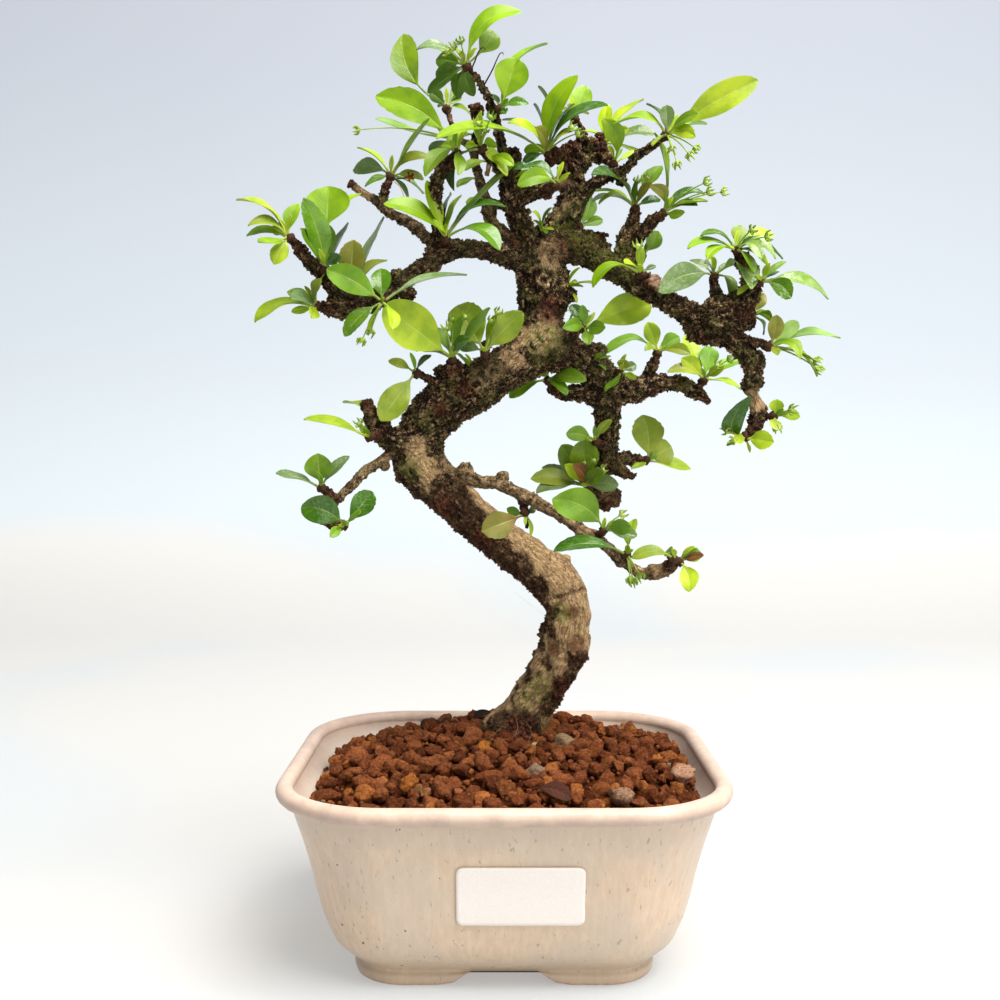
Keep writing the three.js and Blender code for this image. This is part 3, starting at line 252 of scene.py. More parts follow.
        [-19.5, -5, -4, 9, 0.1, "w"], [-8.5, 3, 7, 3, 0.1, "g"], [6.5, 2, 6, 2, 0.1, "g"],
        [13, -20, -3, 5, 0.35, "q"], [6, -6, -7.5, 4, 0.35, "n"], [-3.5, -9, 6, 2, 0.1, "g"]
    ]),
    dict(name="right_up_far", route=[
        [82, -12, 221.5, 4.5], [86, -14, 228, 3.25], [86.5, -16, 233, 2.75], [84, -17, 237.5, 2.5],
        [82, -18, 241, 1.75]
    ], leaves=[
        [-13.5, -3, 6.5, 2.5, 0.4, "e"], [-18, -5, 2, 3, 0.25, "v"], [-11, -10, -2, 3, 0.25, "v"],
        [0.5, 3, 10, 6, 0, "n"], [12, 4, 7, 4.5, 0.05, "x", 0.3], [8, -10, -2, 4.5, 0.5, "q"],
        [13, -5, -1.5, 3.5, 0.45, "q"], [5.5, -9, -6.5, 3.5, 0.1, "n"], [15.5, 2, -1.5, 2, 0.2, "q"],
        [7, -3, 5.5, 2, 0.1, "d"], [10.5, -2, -4, 3, 0.1, "y"]
    ]),
    dict(name="right_end_twig", route=[
        [79.5, -13, 212.5, 2], [85, -15, 211.5, 1.5], [91.5, -18, 209.5, 1.5]
    ], leaves=[
        [4, -5, 10.5, 5.5, 0.05, "t"], [11.5, 0, 8, 5, 0.05, "p"], [26.5, 2, 2.5, 3, 0.14, "p"],
        [12.5, -9, -5, 4, 0.6, "v"], [4.5, -8, -3.5, 3, 0.1, "o"], [17, -5, -5, 1, 0.05, "l"],
        [18.5, -5, -11, 2.5, 0.3, "l"]
    ]),
    dict(name="right_end_spur", route=[
        [84, -12, 223, 2.5], [86, -10, 221, 1.5]
    ], leaves=[
        [5, 3, 6.5, 4.5, 0.1, "t"], [8, -4, -3.5, 3, 0.5, "n"], [5, 4, -8, 1.5, 0.4, "d"]
    ]),
    dict(name="back_bough", route=[
        [14.5, 14, 208.5, 8], [24, 20, 205.5, 6.75], [31.5, 26, 201.5, 6], [36, 30, 196, 5.75],
        [36.5, 33, 189.5, 5], [36.5, 36, 182.5, 4.25], [36.5, 38, 176, 4], [36, 40, 170.5, 4],
        [34, 41, 165, 3.5], [33.5, 41, 160, 3.25], [36.5, 41, 156, 3.5], [35, 41, 151.5, 1.75]
    ]),
    dict(name="back_right_arm", route=[
        [36.5, 30, 194.5, 5], [43.5, 33, 193.5, 4.5], [49.5, 36, 195, 4], [55.5, 38, 196, 3],
        [62, 40, 196, 2.75], [66.5, 41, 193.5, 2.75], [70.5, 42, 191, 1.5], [72.5, 42, 189.5, 1]
    ]),
    dict(name="back_arm_spur", route=[
        [49.5, 36, 194.5, 2.75], [51.5, 37, 200.5, 2.25], [53.5, 38, 205.5, 1.5]
    ], leaves=[
        [-3, -3, 12, 6.5, 0, "y"], [8, 1, 7, 6.5, 0.1, "m"], [-19, -5, 0, 4, 0.25, "m"],
        [8, 5, 4, 3.5, 0.1, "y"], [12, -6, 1, 4.5, 0.15, "o"], [-4, -8, 2, 2.5, 0.1, "l"]
    ]),
    dict(name="back_left_stub", route=[
        [34.5, 30, 191, 4], [27, 26, 193, 2.75], [20.5, 23, 192.5, 2.5], [17.5, 22, 194, 1.5]
    ]),
    dict(name="back_left_bud", route=[
        [18.5, 22, 192.5, 1.5], [16, 20, 196, 1]
    ], leaves=[
        [13, -11, 1, 5.5, 0, "m"], [-14, -4, -5, 5, 0.1, "m"], [-2, 1, 4, 3.5, 0.1, "y"],
        [6, -11, -4, 4, 0.1, "m"]
    ]),
    dict(name="back_low_stub", route=[
        [35, 40, 168.5, 3.25], [42.5, 44, 169.5, 2.5], [49, 46, 169, 1.75]
    ], leaves=[
        [0, -2, 16, 12.5, 0, "o"], [10, 3, 5, 11, 0.05, "o"], [17, 5, -3, 4.5, 0, "y"],
        [-4, -5, -3, 2.5, 0.1, "y"]
    ]),
    dict(name="back_low_tip", route=[
        [36, 40, 168, 3.25], [41.5, 40, 165.5, 2.25], [46, 40, 163, 1.5]
    ]),
    dict(name="back_arm_bud", route=[
        [67.5, 41, 193, 2], [69.5, 40, 196, 1.25]
    ], leaves=[
        [-7, -4, 9, 6.5, 0.05, "y"], [-12, -6, 4, 4, 0.1, "o"], [3, 3, 13, 7.5, 0, "m"],
        [14, 2, 8, 4, 0.1, "m"], [14, -3, -2, 2.5, 0.1, "y"], [8, -8, 6, 4, 0.1, "l"],
        [-6, 5, 17, 6.5, 0, "y"]
    ]),
    dict(name="back_top_bud", route=[
        [36.5, 27, 198.5, 1.75], [39.5, 25, 199.5, 1]
    ], leaves=[
        [3, -4, 5, 5, 0, "o"], [7, 1, 3, 4, 0.1, "g"], [7, -4, -2, 2.5, 0.1, "y"],
        [-4, -7, -6, 2.5, -0.1, "m"]
    ]),
    dict(name="front_bough", route=[
        [-20.5, 10, 162, 4.25], [-14.5, 5, 163.5, 3], [-8.5, 0, 161.5, 2.25], [-2.5, -4, 161, 2.25],
        [3, -8, 158.5, 2.25], [9, -11, 155.5, 2.25], [15.5, -14, 152, 2], [22.5, -17, 148, 2],
        [29.5, -20, 142.5, 2.5], [34, -22, 140.5, 2], [39.5, -24, 135.5, 2], [44.5, -26, 131.5, 1.75],
        [49, -27, 129, 2], [53, -28, 129.5, 2.25], [58, -29, 131, 2.25], [60.5, -30, 132.5, 1.5]
    ], leaves=[
        [9, 1, 4, 5, 0.1, "m"], [10, -6, 3, 2.5, 0, "b"], [5, -5, -10, 6.5, 0.1, "y"]
    ]),
    dict(name="front_stub", route=[
        [6, -9, 156.5, 1.75], [7, -10, 152, 1.25]
    ], leaves=[
        [-15, -6, -8, 9.5, 0.05, "r"], [-6, 3, 0, 3.5, 0.1, "m"], [4, 2, 1, 2.5, 0, "g"]
    ]),
    dict(name="front_top_bud", route=[
        [31.5, -21, 141.5, 1.5], [34, -23, 143.5, 1]
    ], leaves=[
        [-17, -7, 12, 11.5, 0.2, "m"], [11, -8, 2, 5.5, 0.1, "m"], [13, -4, -1, 4, 0, "g"]
    ]),
    dict(name="left_mid_stub", route=[
        [-28, 10, 176, 5], [-36.5, 6, 176, 4.25], [-41, 3, 177.5, 4], [-45, 0, 181, 3.25],
        [-47, -2, 185.5, 2.75], [-48.5, -3, 190, 2]
    ]),
    dict(name="left_mid_bud", route=[
        [-43, 0, 179, 1.75], [-46.5, -6, 177.5, 1.25]
    ], leaves=[
        [-24, -5, 6, 3.2, 0.06, "y"], [-4, -6, 4, 2.5, 0, "l"]
    ]),
    dict(name="left_mid_top_bud", route=[
        [-41.5, 4, 178.5, 2], [-41.5, 5, 181.5, 1.5]
    ], leaves=[
        [4, 4, 7, 4, 0, "g"], [-15, 10, 8, 2.5, 0.1, "y"]
    ]),
    dict(name="left_low_twig", route=[
        [-34, 10, 172, 3.25], [-40, 5, 171, 2], [-44.5, 1, 168, 1.75], [-49, -3, 165, 1.75],
        [-53.5, -7, 160.5, 1.75], [-58, -10, 156, 1.5], [-60.5, -12, 152.5, 1.5], [-62, -12, 148.5, 1.75],
        [-65.5, -13, 147.5, 1.25]
    ]),
    dict(name="left_low_top_spur", route=[
        [-59, -11, 154.5, 1.5], [-61.5, -14, 157, 1.5], [-63.5, -16, 158.5, 1.25]
    ], leaves=[
        [-2, -4, 13, 9.5, 0, "n"], [9, 1, 12, 4, -0.05, "g"], [-17, -5, 6, 2.5, 0.05, "g"]
    ]),
    dict(name="left_low_end_spur", route=[
        [-62.5, -12, 148.5, 2], [-60, -15, 146, 2], [-57.5, -18, 146, 1.25]
    ], leaves=[
        [-14, -6, 7, 10, 0.2, "d"], [11, 1, 12, 8, 0, "d"], [7, -6, 5, 2, 0, "m"],
        [-4, -9, -4, 3.5, 0.1, "m"]
    ]),
    dict(name="trunk_knob", route=[
        [-16, 8, 196, 3.25], [-17.5, 2, 200.5, 2.75], [-18, -1, 203.5, 2.25]
    ], leaves=[
        [-24, -12, 20, 15.5, 0, "y"], [13, -8, 19, 4, -0.1, "m"], [3, -4, 16, 4, 0, "m"],
        [-13, 2, 4, 2.5, 0.05, "d"], [-5, 1, 12, 4, 0, "m"], [6, -12, 8, 4, 0.2, "d"]
    ]),
    dict(name="trunk_mid_spur", route=[
        [-5.5, 6, 202, 2], [-6.5, -2, 206, 1.5]
    ], leaves=[
        [-10, 7, 17, 13.5, 0, "o"], [13, -7, 15, 9.5, 0.05, "o"], [-9, 1, 2, 4, 0.25, "g"],
        [4, 2, 10, 5, 0, "m"], [4, -10, 14, 2.5, 0, "l"]
    ]),
    dict(name="trunk_left_spur", route=[
        [-20.5, 8, 193.5, 2.5], [-25.5, 4, 197, 1.5], [-29.5, 2, 199, 1.25]
    ], leaves=[
        [-14, -7, -16, 10, -0.05, "o"], [-11, 0, 5, 3.5, 0.1, "o"], [4, 1, 7, 2.5, 0, "g"]
    ]),
    dict(name="trunk_right_spur", route=[
        [18.5, 8, 209, 3.25], [24, 6, 213, 2], [26.5, 5, 214.5, 1.25]
    ], leaves=[
        [25, 2, 9, 11.5, 0.1, "y"], [9, -9, 1, 5, 0, "m"], [-3, 2, 9, 4.5, 0, "d"],
        [1, -4, 9, 3.5, 0, "m"], [-6, -9, 1, 5, 0.1, "m"], [3, -8, -5, 4.5, 0, "m"]
    ]),
    dict(name="back_side_bud", route=[
        [36, 34, 173.5, 1.5], [33, 28, 175.5, 1]
    ], leaves=[
        [-11, -5, 3, 6, 0.2, "m"], [5, 1, 8, 3.5, 0, "o"]
    ]),
    dict(name="back_cluster_bud", route=[
        [34, 38, 162, 1.5], [30.5, 34, 160.5, 1]
    ], leaves=[
        [-21, -5, 2, 6.5, 0.1, "o"], [-17, 3, 6, 4, 0.1, "g"], [-9, -8, 7, 5, 0.05, "y"],
        [-19, -10, -3, 3.5, 0.12, "g"], [-10, 0, 14, 9, 0.05, "n"], [-2, -6, 16, 11, 0, "n"],
        [3, -11, 6, 5, 0.05, "m"], [10, -7, 0, 6.5, 0.2, "g"], [-6, -14, 7, 5, 0.1, "b"],
        [5, -13, 4, 3.5, 0, "m"]
    ]),
    dict(name="stem_back_bud", route=[
        [19.5, 14, 249, 1.5], [25.5, 22, 250, 1]
    ], leaves=[
        [5, 5, 11, 6, -0.1, "m"], [9, 6, 3, 4, 0.1, "m"]
    ]),
    dict(name="left_arm_spur", route=[
        [-62.5, -14, 232.5, 1.5], [-62.5, -17, 235, 1]
    ], leaves=[
        [-7.5, -8, 25.5, 7.5, 0.05, "e", 0.06], [-2.5, -3, 18, 7, 0.25, "s"],
        [-8.5, -11, 15, 3, -0.08, "s"], [5.5, -9, 5.5, 4, 0.15, "d"], [1.5, 2, 29.5, 15, 0, "v", 0.5],
        [12.5, 7, 27, 7, 0.38, "v", 0.35], [8, 4, 17, 3, -0.1, "k"]
    ]),
    dict(name="left_low_arm_spur", route=[
        [-53, -11, 224, 1.5], [-53, -14, 227, 1]
    ], leaves=[
        [0.5, -4, 19, 9, 0.05, "t", 0.25], [11, 4, 27, 3, -0.06, "g"], [12, 7, 12, 4.5, 0.12, "o"],
        [-5, -3, 14, 4, 0.1, "d"]
    ]),
    dict(name="left_mid_cup_spur", route=[
        [-42, -8, 227, 1.75], [-42.5, -16, 225, 1]
    ], leaves=[
        [-19.5, -8, 11, 9, 0.12, "m"], [-0.5, 3, 11, 7, 0, "e"], [-13.5, -6, -12.5, 6, 0.12, "e"],
        [29.5, 5, 9, 3, 0.14, "w"], [-4, -9, -11, 2, 0.1, "l"], [3, -12, -10, 3, 0.2, "y"]
    ]),
    dict(name="crown_back_spur", route=[
        [-15, 20, 281, 1], [-17, 22, 281, 1]
    ], leaves=[
        [-27.5, -4, 14.5, 11.5, 0.2, "v", 0.08], [-9, 3, -4.5, 5, -0.1, "k"],
        [-27.5, 8, 7, 4, -0.15, "p", 0.3]
    ]),
    dict(name="crown_side_spur", route=[
        [-3.5, 3, 289, 1.25], [-2, 0, 290.5, 1]
    ], leaves=[
        [6.5, -3, 18, 12, 0, "v", 0.15], [17, 4, 23, 4.5, 0.3, "v", 0.2], [10.5, -3, 2.5, 3.5, 0.25, "e"],
        [-4, 6, 6, 3, -0.1, "s"], [2.5, -5, -1, 3, 0.1, "d"]
    ]),
    dict(name="right_knee_spur", route=[
        [46, 4, 237.5, 2], [48, 11, 240, 1]
    ], leaves=[
        [6, 2, 9, 6, -0.1, "m"]
    ]),
    dict(name="right_far_spur", route=[
        [87, -15, 231, 1.75], [89, -20, 231.5, 1]
    ], leaves=[
        [11.5, -8, -5.5, 6.5, 0.3, "e"], [24.5, 4, -6, 5.5, 0.2, "q"], [-7.5, -1, -4.5, 2, 0.1, "l"],
        [7, 3, 3.5, 2, 0.05, "d"], [4, -6, 6.5, 2, 0, "y"], [9.5, -3, 7, 2, 0.05, "q"]
    ]),
    dict(name="right_low_spur", route=[
        [89, -19, 184.5, 1.5], [93, -20, 184.5, 1]
    ], leaves=[
        [3, -2, 6, 5, 0.1, "y"], [11, 3, 0, 4, 0.15, "y"], [3, -6, -5, 4, 0.2, "l"]
    ]),
    dict(name="front_low_spur", route=[
        [41.5, -24, 134, 1.5], [42.5, -26, 135, 1]
    ], leaves=[
        [3, 10, 13, 3.5, 0, "y"], [-25, -4, 2, 4, 0.12, "d"]
    ]),
    dict(name="front_end_spur", route=[
        [57, -29, 131.5, 1.5], [59, -32, 133.5, 1]
    ], leaves=[
        [-14, -2, 1, 4, 0.2, "o"], [-2, 5, 3, 4, 0.1, "m"]
    ]),
]

# Short twigs inside the crown that the solids leave out
SIDE_TWIGS = [
    dict(name="crown_dark_twig", route=[
        [-10.6, 17, 277.5, 1.5], [-9, 13, 285, 1.4], [-9.3, 9, 290.5, 2], [-10, 8, 292.5, 1.5]
    ]),
    dict(name="crown_cross_low", route=[
        [5, 9, 261.5, 2.2], [11, 10, 262.5, 2.2], [17, 12, 265, 2.2], [22, 14, 267, 2]
    ]),
    dict(name="crown_back_low", route=[
        [-9, 15, 268, 1.7], [-6.5, 13, 260, 2.1], [-4.5, 11.5, 253, 2.2], [0, 11, 248, 2.4],
        [6, 11, 245, 2.5]
    ]),
    dict(name="crown_stick", route=[
        [-6, 12, 268, 1], [-5, 11, 274, 0.9], [-4.6, 10, 280, 0.8]
    ]),
    dict(name="crown_slant", route=[
        [-10, 16, 278.5, 1.2], [-2.1, 12, 271.3, 1.3], [2.5, 10, 266, 1.4]
    ]),
]

# Knobs and old pruning scars: [right, depth, up, radius]
KNOBS = [
    [-37.5, -8, 233, 3], [-34, -4, 227.5, 3], [2.5, 8, 274.5, 3.5], [18.5, 12, 274.5, 2.5], [22, 15, 276, 3],
    [25.5, 14, 273.5, 3], [29.5, 20, 277, 3], [33, 21, 275, 3], [-4.5, 3, 291.5, 2], [24.5, 9, 257, 3],
    [75.5, -14, 217.5, 6.5], [82.5, -12, 225, 4], [70, -12, 213.5, 4], [85, -12, 217.5, 3],
    [88, -14, 203.5, 3.5], [87.5, -18, 196.5, 3], [-0.5, -4, 163, 2.5], [-13.5, 4, 165.5, 3],
    [31, -20, 142.5, 2.5], [41, -25, 133, 2], [22.5, 10, 227, 3], [22, 13, 134, 2], [38, 42, 156, 4],
    [17, 22, 194, 2], [-42, 3, 167, 2], [53, -28, 129.5, 3], [-24, -8, 263.5, 2.5], [19.5, 4, 207, 3],
    [33, 24, 207.5, 3], [34, 22, 200, 4], [-22, 6, 200, 2.5], [-6.5, 4, 209, 2], [16.5, 9, 119, 2.5],
    [25.5, 9, 101.5, 3], [-21, 5, 153, 2], [15, -1, 262, 2], [85, -13, 209.5, 2.5], [41, 0, 266.5, 2],
    [17, 12, 276.5, 2.4], [20.5, 12, 275.5, 2.6], [24, 13, 278, 2.5], [27, 17, 281, 2], [30.5, 19, 279, 2.6],
    [34, 20, 277.5, 2.6], [33.5, 20, 281.5, 1.5], [16, 11, 273, 2], [36, 20, 274, 2]
]

# Flower buds on thin stalks, by branch, as [right, depth, up] from the branch's end
BUDS = {
    "left_mid_cup_spur": [(-4, -6, -10), (-7, -7, -13)],
    "trunk_mid_spur": [(4, -10, 14), (2, -8, 11)],
    "trunk_knob": [(0, -6, 14), (-2, -8, 11), (4, -7, 15)],
    "crown_tip_twig": [(-5, -6, 7), (-3, -8, 9), (-7, -7, 6)],
    "crown_back_spur": [(-33, -4, 3)],
    "crown_front_twig": [(-2, -9, 9), (2, -8, 11), (0, -10, 7)],
    "crown_mid_twig": [(7, -14, 9), (9, -12, 7)],
    "right_high_twig": [(3, -9, -3), (5, -9, -8), (9, -10, -5), (11, -8, -3)],
    "right_spur_left": [(1, -3, 10), (4, -2, 11)],
    "right_spur_right": [(16, -10, 8), (21, -9, 8), (15, -8, 11)],
    "right_end_twig": [(18, -6, -8), (17, -4, -5)],
    "right_low_spur": [(3, -3, -3), (7, -5, 2)],
    "right_bough": [(-5, -6, -2), (-7, -5, 1)],
    "right_up_far": [(9, -8, 6), (4, -10, 8)],
    "front_low_spur": [(2, -4, -7), (5, -5, -6), (3, -2, -8)],
    "back_cluster_bud": [(1, -10, 8), (4, -9, 5), (-2, -8, 7)],
    "back_arm_bud": [(9, -5, 8), (5, -7, 6)],
    "right_bud_spur": [(-1, -6, 10)],
    "left_mid_bud": [(-4, -7, 4)],
    "front_top_bud": [(7, -8, 6)],
}


def place(right, depth, up):
    """A place on the plant in metres. Deeper ones are scaled up, so they are seen where they are given."""
    scale = 1 + depth / EYE_FORWARD
    return CENTRE + Vector((right * scale, depth, EYE_UP + (up - EYE_UP) * scale)) * MM


# Meshes

def new_object(name, points, faces):
    mesh = bpy.data.meshes.new(name)
    mesh.from_pydata([tuple(p) for p in points], [], faces)
    mesh.update()
    return linked(name, mesh)


def linked(name, data):
    thing = bpy.data.objects.new(name, data)
    bpy.context.scene.collection.objects.link(thing)
    return thing


def smooth(thing):
    thing.data.polygons.foreach_set("use_smooth", [True] * len(thing.data.polygons))
    thing.data.update()


def set_vectors(thing, name, values):
    layer = thing.data.attributes.new(name, "FLOAT_VECTOR", "POINT")
    layer.data.foreach_set("vector", np.asarray(values, np.float32).ravel())


def loft_faces(rows, count, first=0):
    """Quads between rows of points that each close on themselves, and one face over each end."""
    faces = []
    for row in range(rows - 1):
        for k in range(count):
            a = first + row * count + k
            b = first + row * count + (k + 1) % count
            faces.append((a, b, b + count, a + count))
    last = first + (rows - 1) * count
    faces.append(tuple(first + k for k in reversed(range(count))))
    faces.append(tuple(last + k for k in range(count)))
    return faces


class Shells:
    """Closed shells gathered for one mesh.

    Each has a tint. On leaves it also has a nature, which is age, share of painted sheen and spots, and
    marks, which are the place across and along the blade and the side. An age of -1 marks what isn't a
    living leaf.
    """

    def __init__(self):
        self.points = []
        self.faces = []
        self.tints = []
        self.natures = []
        self.marks = []

    def add(self, points, faces, tint, nature=(-1, 0, 0), marks=None):
        first = len(self.points)
        self.points.extend(points)
        self.faces.extend(tuple(first + k for k in face) for face in faces)
        self.tints.extend([tint] * len(points))
        self.natures.extend([nature] * len(points))
        self.marks.extend(marks or [(1, 0, 1)] * len(points))

    def build(self, name):
        thing = new_object(name, self.points, self.faces)
        set_vectors(thing, "tint", self.tints)
        smooth(thing)
        return thing

    def build_leaves(self, name):
        """Leaves keep a sharp rim between their two sides."""
        thing = self.build(name)
        set_vectors(thing, "nature", self.natures)
        set_vectors(thing, "marks", self.marks)
        thing.data.set_sharp_from_angle(angle=math.radians(RIM_ANGLE))
        return thing


def stand_for(thing, slot, material, *nodes):
    thing.data.materials.append(material)
    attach(thing, "root")
    if nodes:
        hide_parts(*nodes)


def linear(code):
    """A colour written as in print, such as 8b4a2f, in the renderer's own scale."""
    parts = [int(code[k:k + 2], 16) / 255 for k in (0, 2, 4)]
    return tuple(p / 12.92 if p <= 0.04045 else ((p + 0.055) / 1.055) ** 2.4 for p in parts)


def ease(value, low, high):
    share = min(max((value - low) / (high - low), 0), 1)
    return share * share * (3 - 2 * share)


def curve_rows(given, steps_between):
    """Rows on a smooth curve through the given ones, steps_between(a, b) of them from each to the next."""
    knots = np.array([given[0], *given, given[-1]], float)
    rows = []
    for i in range(1, len(knots) - 2):
        p0, p1, p2, p3 = knots[i - 1:i + 3]
        steps = steps_between(p1, p2)
        for t in np.arange(steps) / steps:
            rows.append(0.5 * (2 * p1 + (p2 - p0) * t + (2 * p0 - 5 * p1 + 4 * p2 - p3) * t ** 2
                               + (3 * p1 - p0 - 3 * p2 + p3) * t ** 3))
    rows.append(knots[-1])
    return rows


def on_arc(root, bend, tip, share):
    return root * (1 - share) ** 2 + bend * 2 * share * (1 - share) + tip * share ** 2


def turned(side, other, angle):
    return side * math.cos(angle) + other * math.sin(angle)


def square_to(along):
    """Two directions square to a third."""
    side = along.cross(Vector((0.3, 0.9, 0.2))).normalized()
    return side, along.cross(side)


# Materials

class Paint:
    """Builds a material's node tree. Inputs take a number, a colour or another node's output."""

    def __init__(self, name):
        self.material = bpy.data.materials.new(name)
        self.material.use_nodes = True
        self.tree = self.material.node_tree
        self.tree.nodes.clear()

    def node(self, kind, inputs=(), **settings):
        made = self.tree.nodes.new(kind)
        for key, value in settings.items():
            setattr(made, key, value)
        for key, value in dict(inputs).items():
            socket = made.inputs[key]
            if isinstance(value, bpy.types.NodeSocket):
                self.tree.links.new(value, socket)
            elif socket.type == "RGBA":
                socket.default_value = (*value, 1)
            else:
                socket.default_value = value
        return made

    def attribute(self, name):
        return self.node("ShaderNodeAttribute", attribute_name=name).outputs["Vector"]

    def place(self):
        """Surface position in millimetres."""
        coordinate = self.node("ShaderNodeTexCoord").outputs["Object"]
        return self.stretch(coordinate, (1 / MM, 1 / MM, 1 / MM))

    def stretch(self, vector, scale):
        return self.node("ShaderNodeVectorMath", {0: vector, 1: scale}, operation="MULTIPLY").outputs[0]

    def noise(self, vector, scale, detail, roughness, output="Fac"):
        inputs = {"Vector": vector, "Scale": scale, "Detail": detail, "Roughness": roughness}
        return self.node("ShaderNodeTexNoise", inputs).outputs[output]

    def shifted(self, vector, by):
        return self.node("ShaderNodeVectorMath", {0: vector, 1: by}, operation="ADD").outputs[0]

    def cells(self, vector, scale, feature="F1"):
        inputs = {"Vector": vector, "Scale": scale}
        return self.node("ShaderNodeTexVoronoi", inputs, feature=feature).outputs["Distance"]

    def math(self, operation, a, b=0.0):
        return self.node("ShaderNodeMath", {0: a, 1: b}, operation=operation).outputs[0]

    def times(self, a, b):
        return self.math("MULTIPLY", a, b)

    def plus(self, a, b):
        return self.math("ADD", a, b)

    def minus(self, a, b):
        return self.math("SUBTRACT", a, b)

    def larger(self, a, b):
        return self.math("MAXIMUM", a, b)

    def between(self, value, low, high, first=0.0, last=1.0):
        """Eases from first to last as value goes from low to high."""
        inputs = {"Value": value, "From Min": low, "From Max": high, "To Min": first, "To Max": last}
        made = self.node("ShaderNodeMapRange", inputs, interpolation_type="SMOOTHSTEP")
        return made.outputs["Result"]

    def mix(self, share, a, b, blend="MIX"):
        made = self.node("ShaderNodeMix", {0: share, 6: a, 7: b}, data_type="RGBA", blend_type=blend)
        return made.outputs[2]

    def ramp(self, value, *stops):
        made = self.node("ShaderNodeValToRGB", {"Fac": value})
        elements = made.color_ramp.elements
        while len(elements) < len(stops):
            elements.new(0.5)
        for element, (position, code) in zip(elements, stops):
            element.position = position
            element.color = (*linear(code), 1)
        return made.outputs["Color"]

    def split(self, vector):
        return self.node("ShaderNodeSeparateXYZ", {0: vector}).outputs

    def bump(self, height, strength, distance, normal=None):
        inputs = {"Height": height, "Strength": strength, "Distance": distance * MM}
        if normal is not None:
            inputs["Normal"] = normal
        return self.node("ShaderNodeBump", inputs).outputs["Normal"]

    def finish(self, colour, normal=None, through=0.0, **sockets):
        inputs = {"Base Color": colour}
        if normal is not None:
            inputs["Normal"] = normal
        for key, value in sockets.items():
            inputs[key.replace("_", " ")] = value
        shader = self.node("ShaderNodeBsdfPrincipled", inputs).outputs[0]
        if through:
            glow = self.mix(1.0, colour, linear("f4ff9a"), "MULTIPLY")
            bright = self.node("ShaderNodeBsdfTranslucent", {"Color": glow}).outputs[0]
            shader = self.node("ShaderNodeMixShader", {0: through, 1: shader, 2: bright}).outputs[0]
        output = self.node("ShaderNodeOutputMaterial", {"Surface": shader})
        output.is_active_output = True
        return self.material


WORN_BARK = (176, 150)   # rough bark is worn below the second of these heights, and fresh above the first


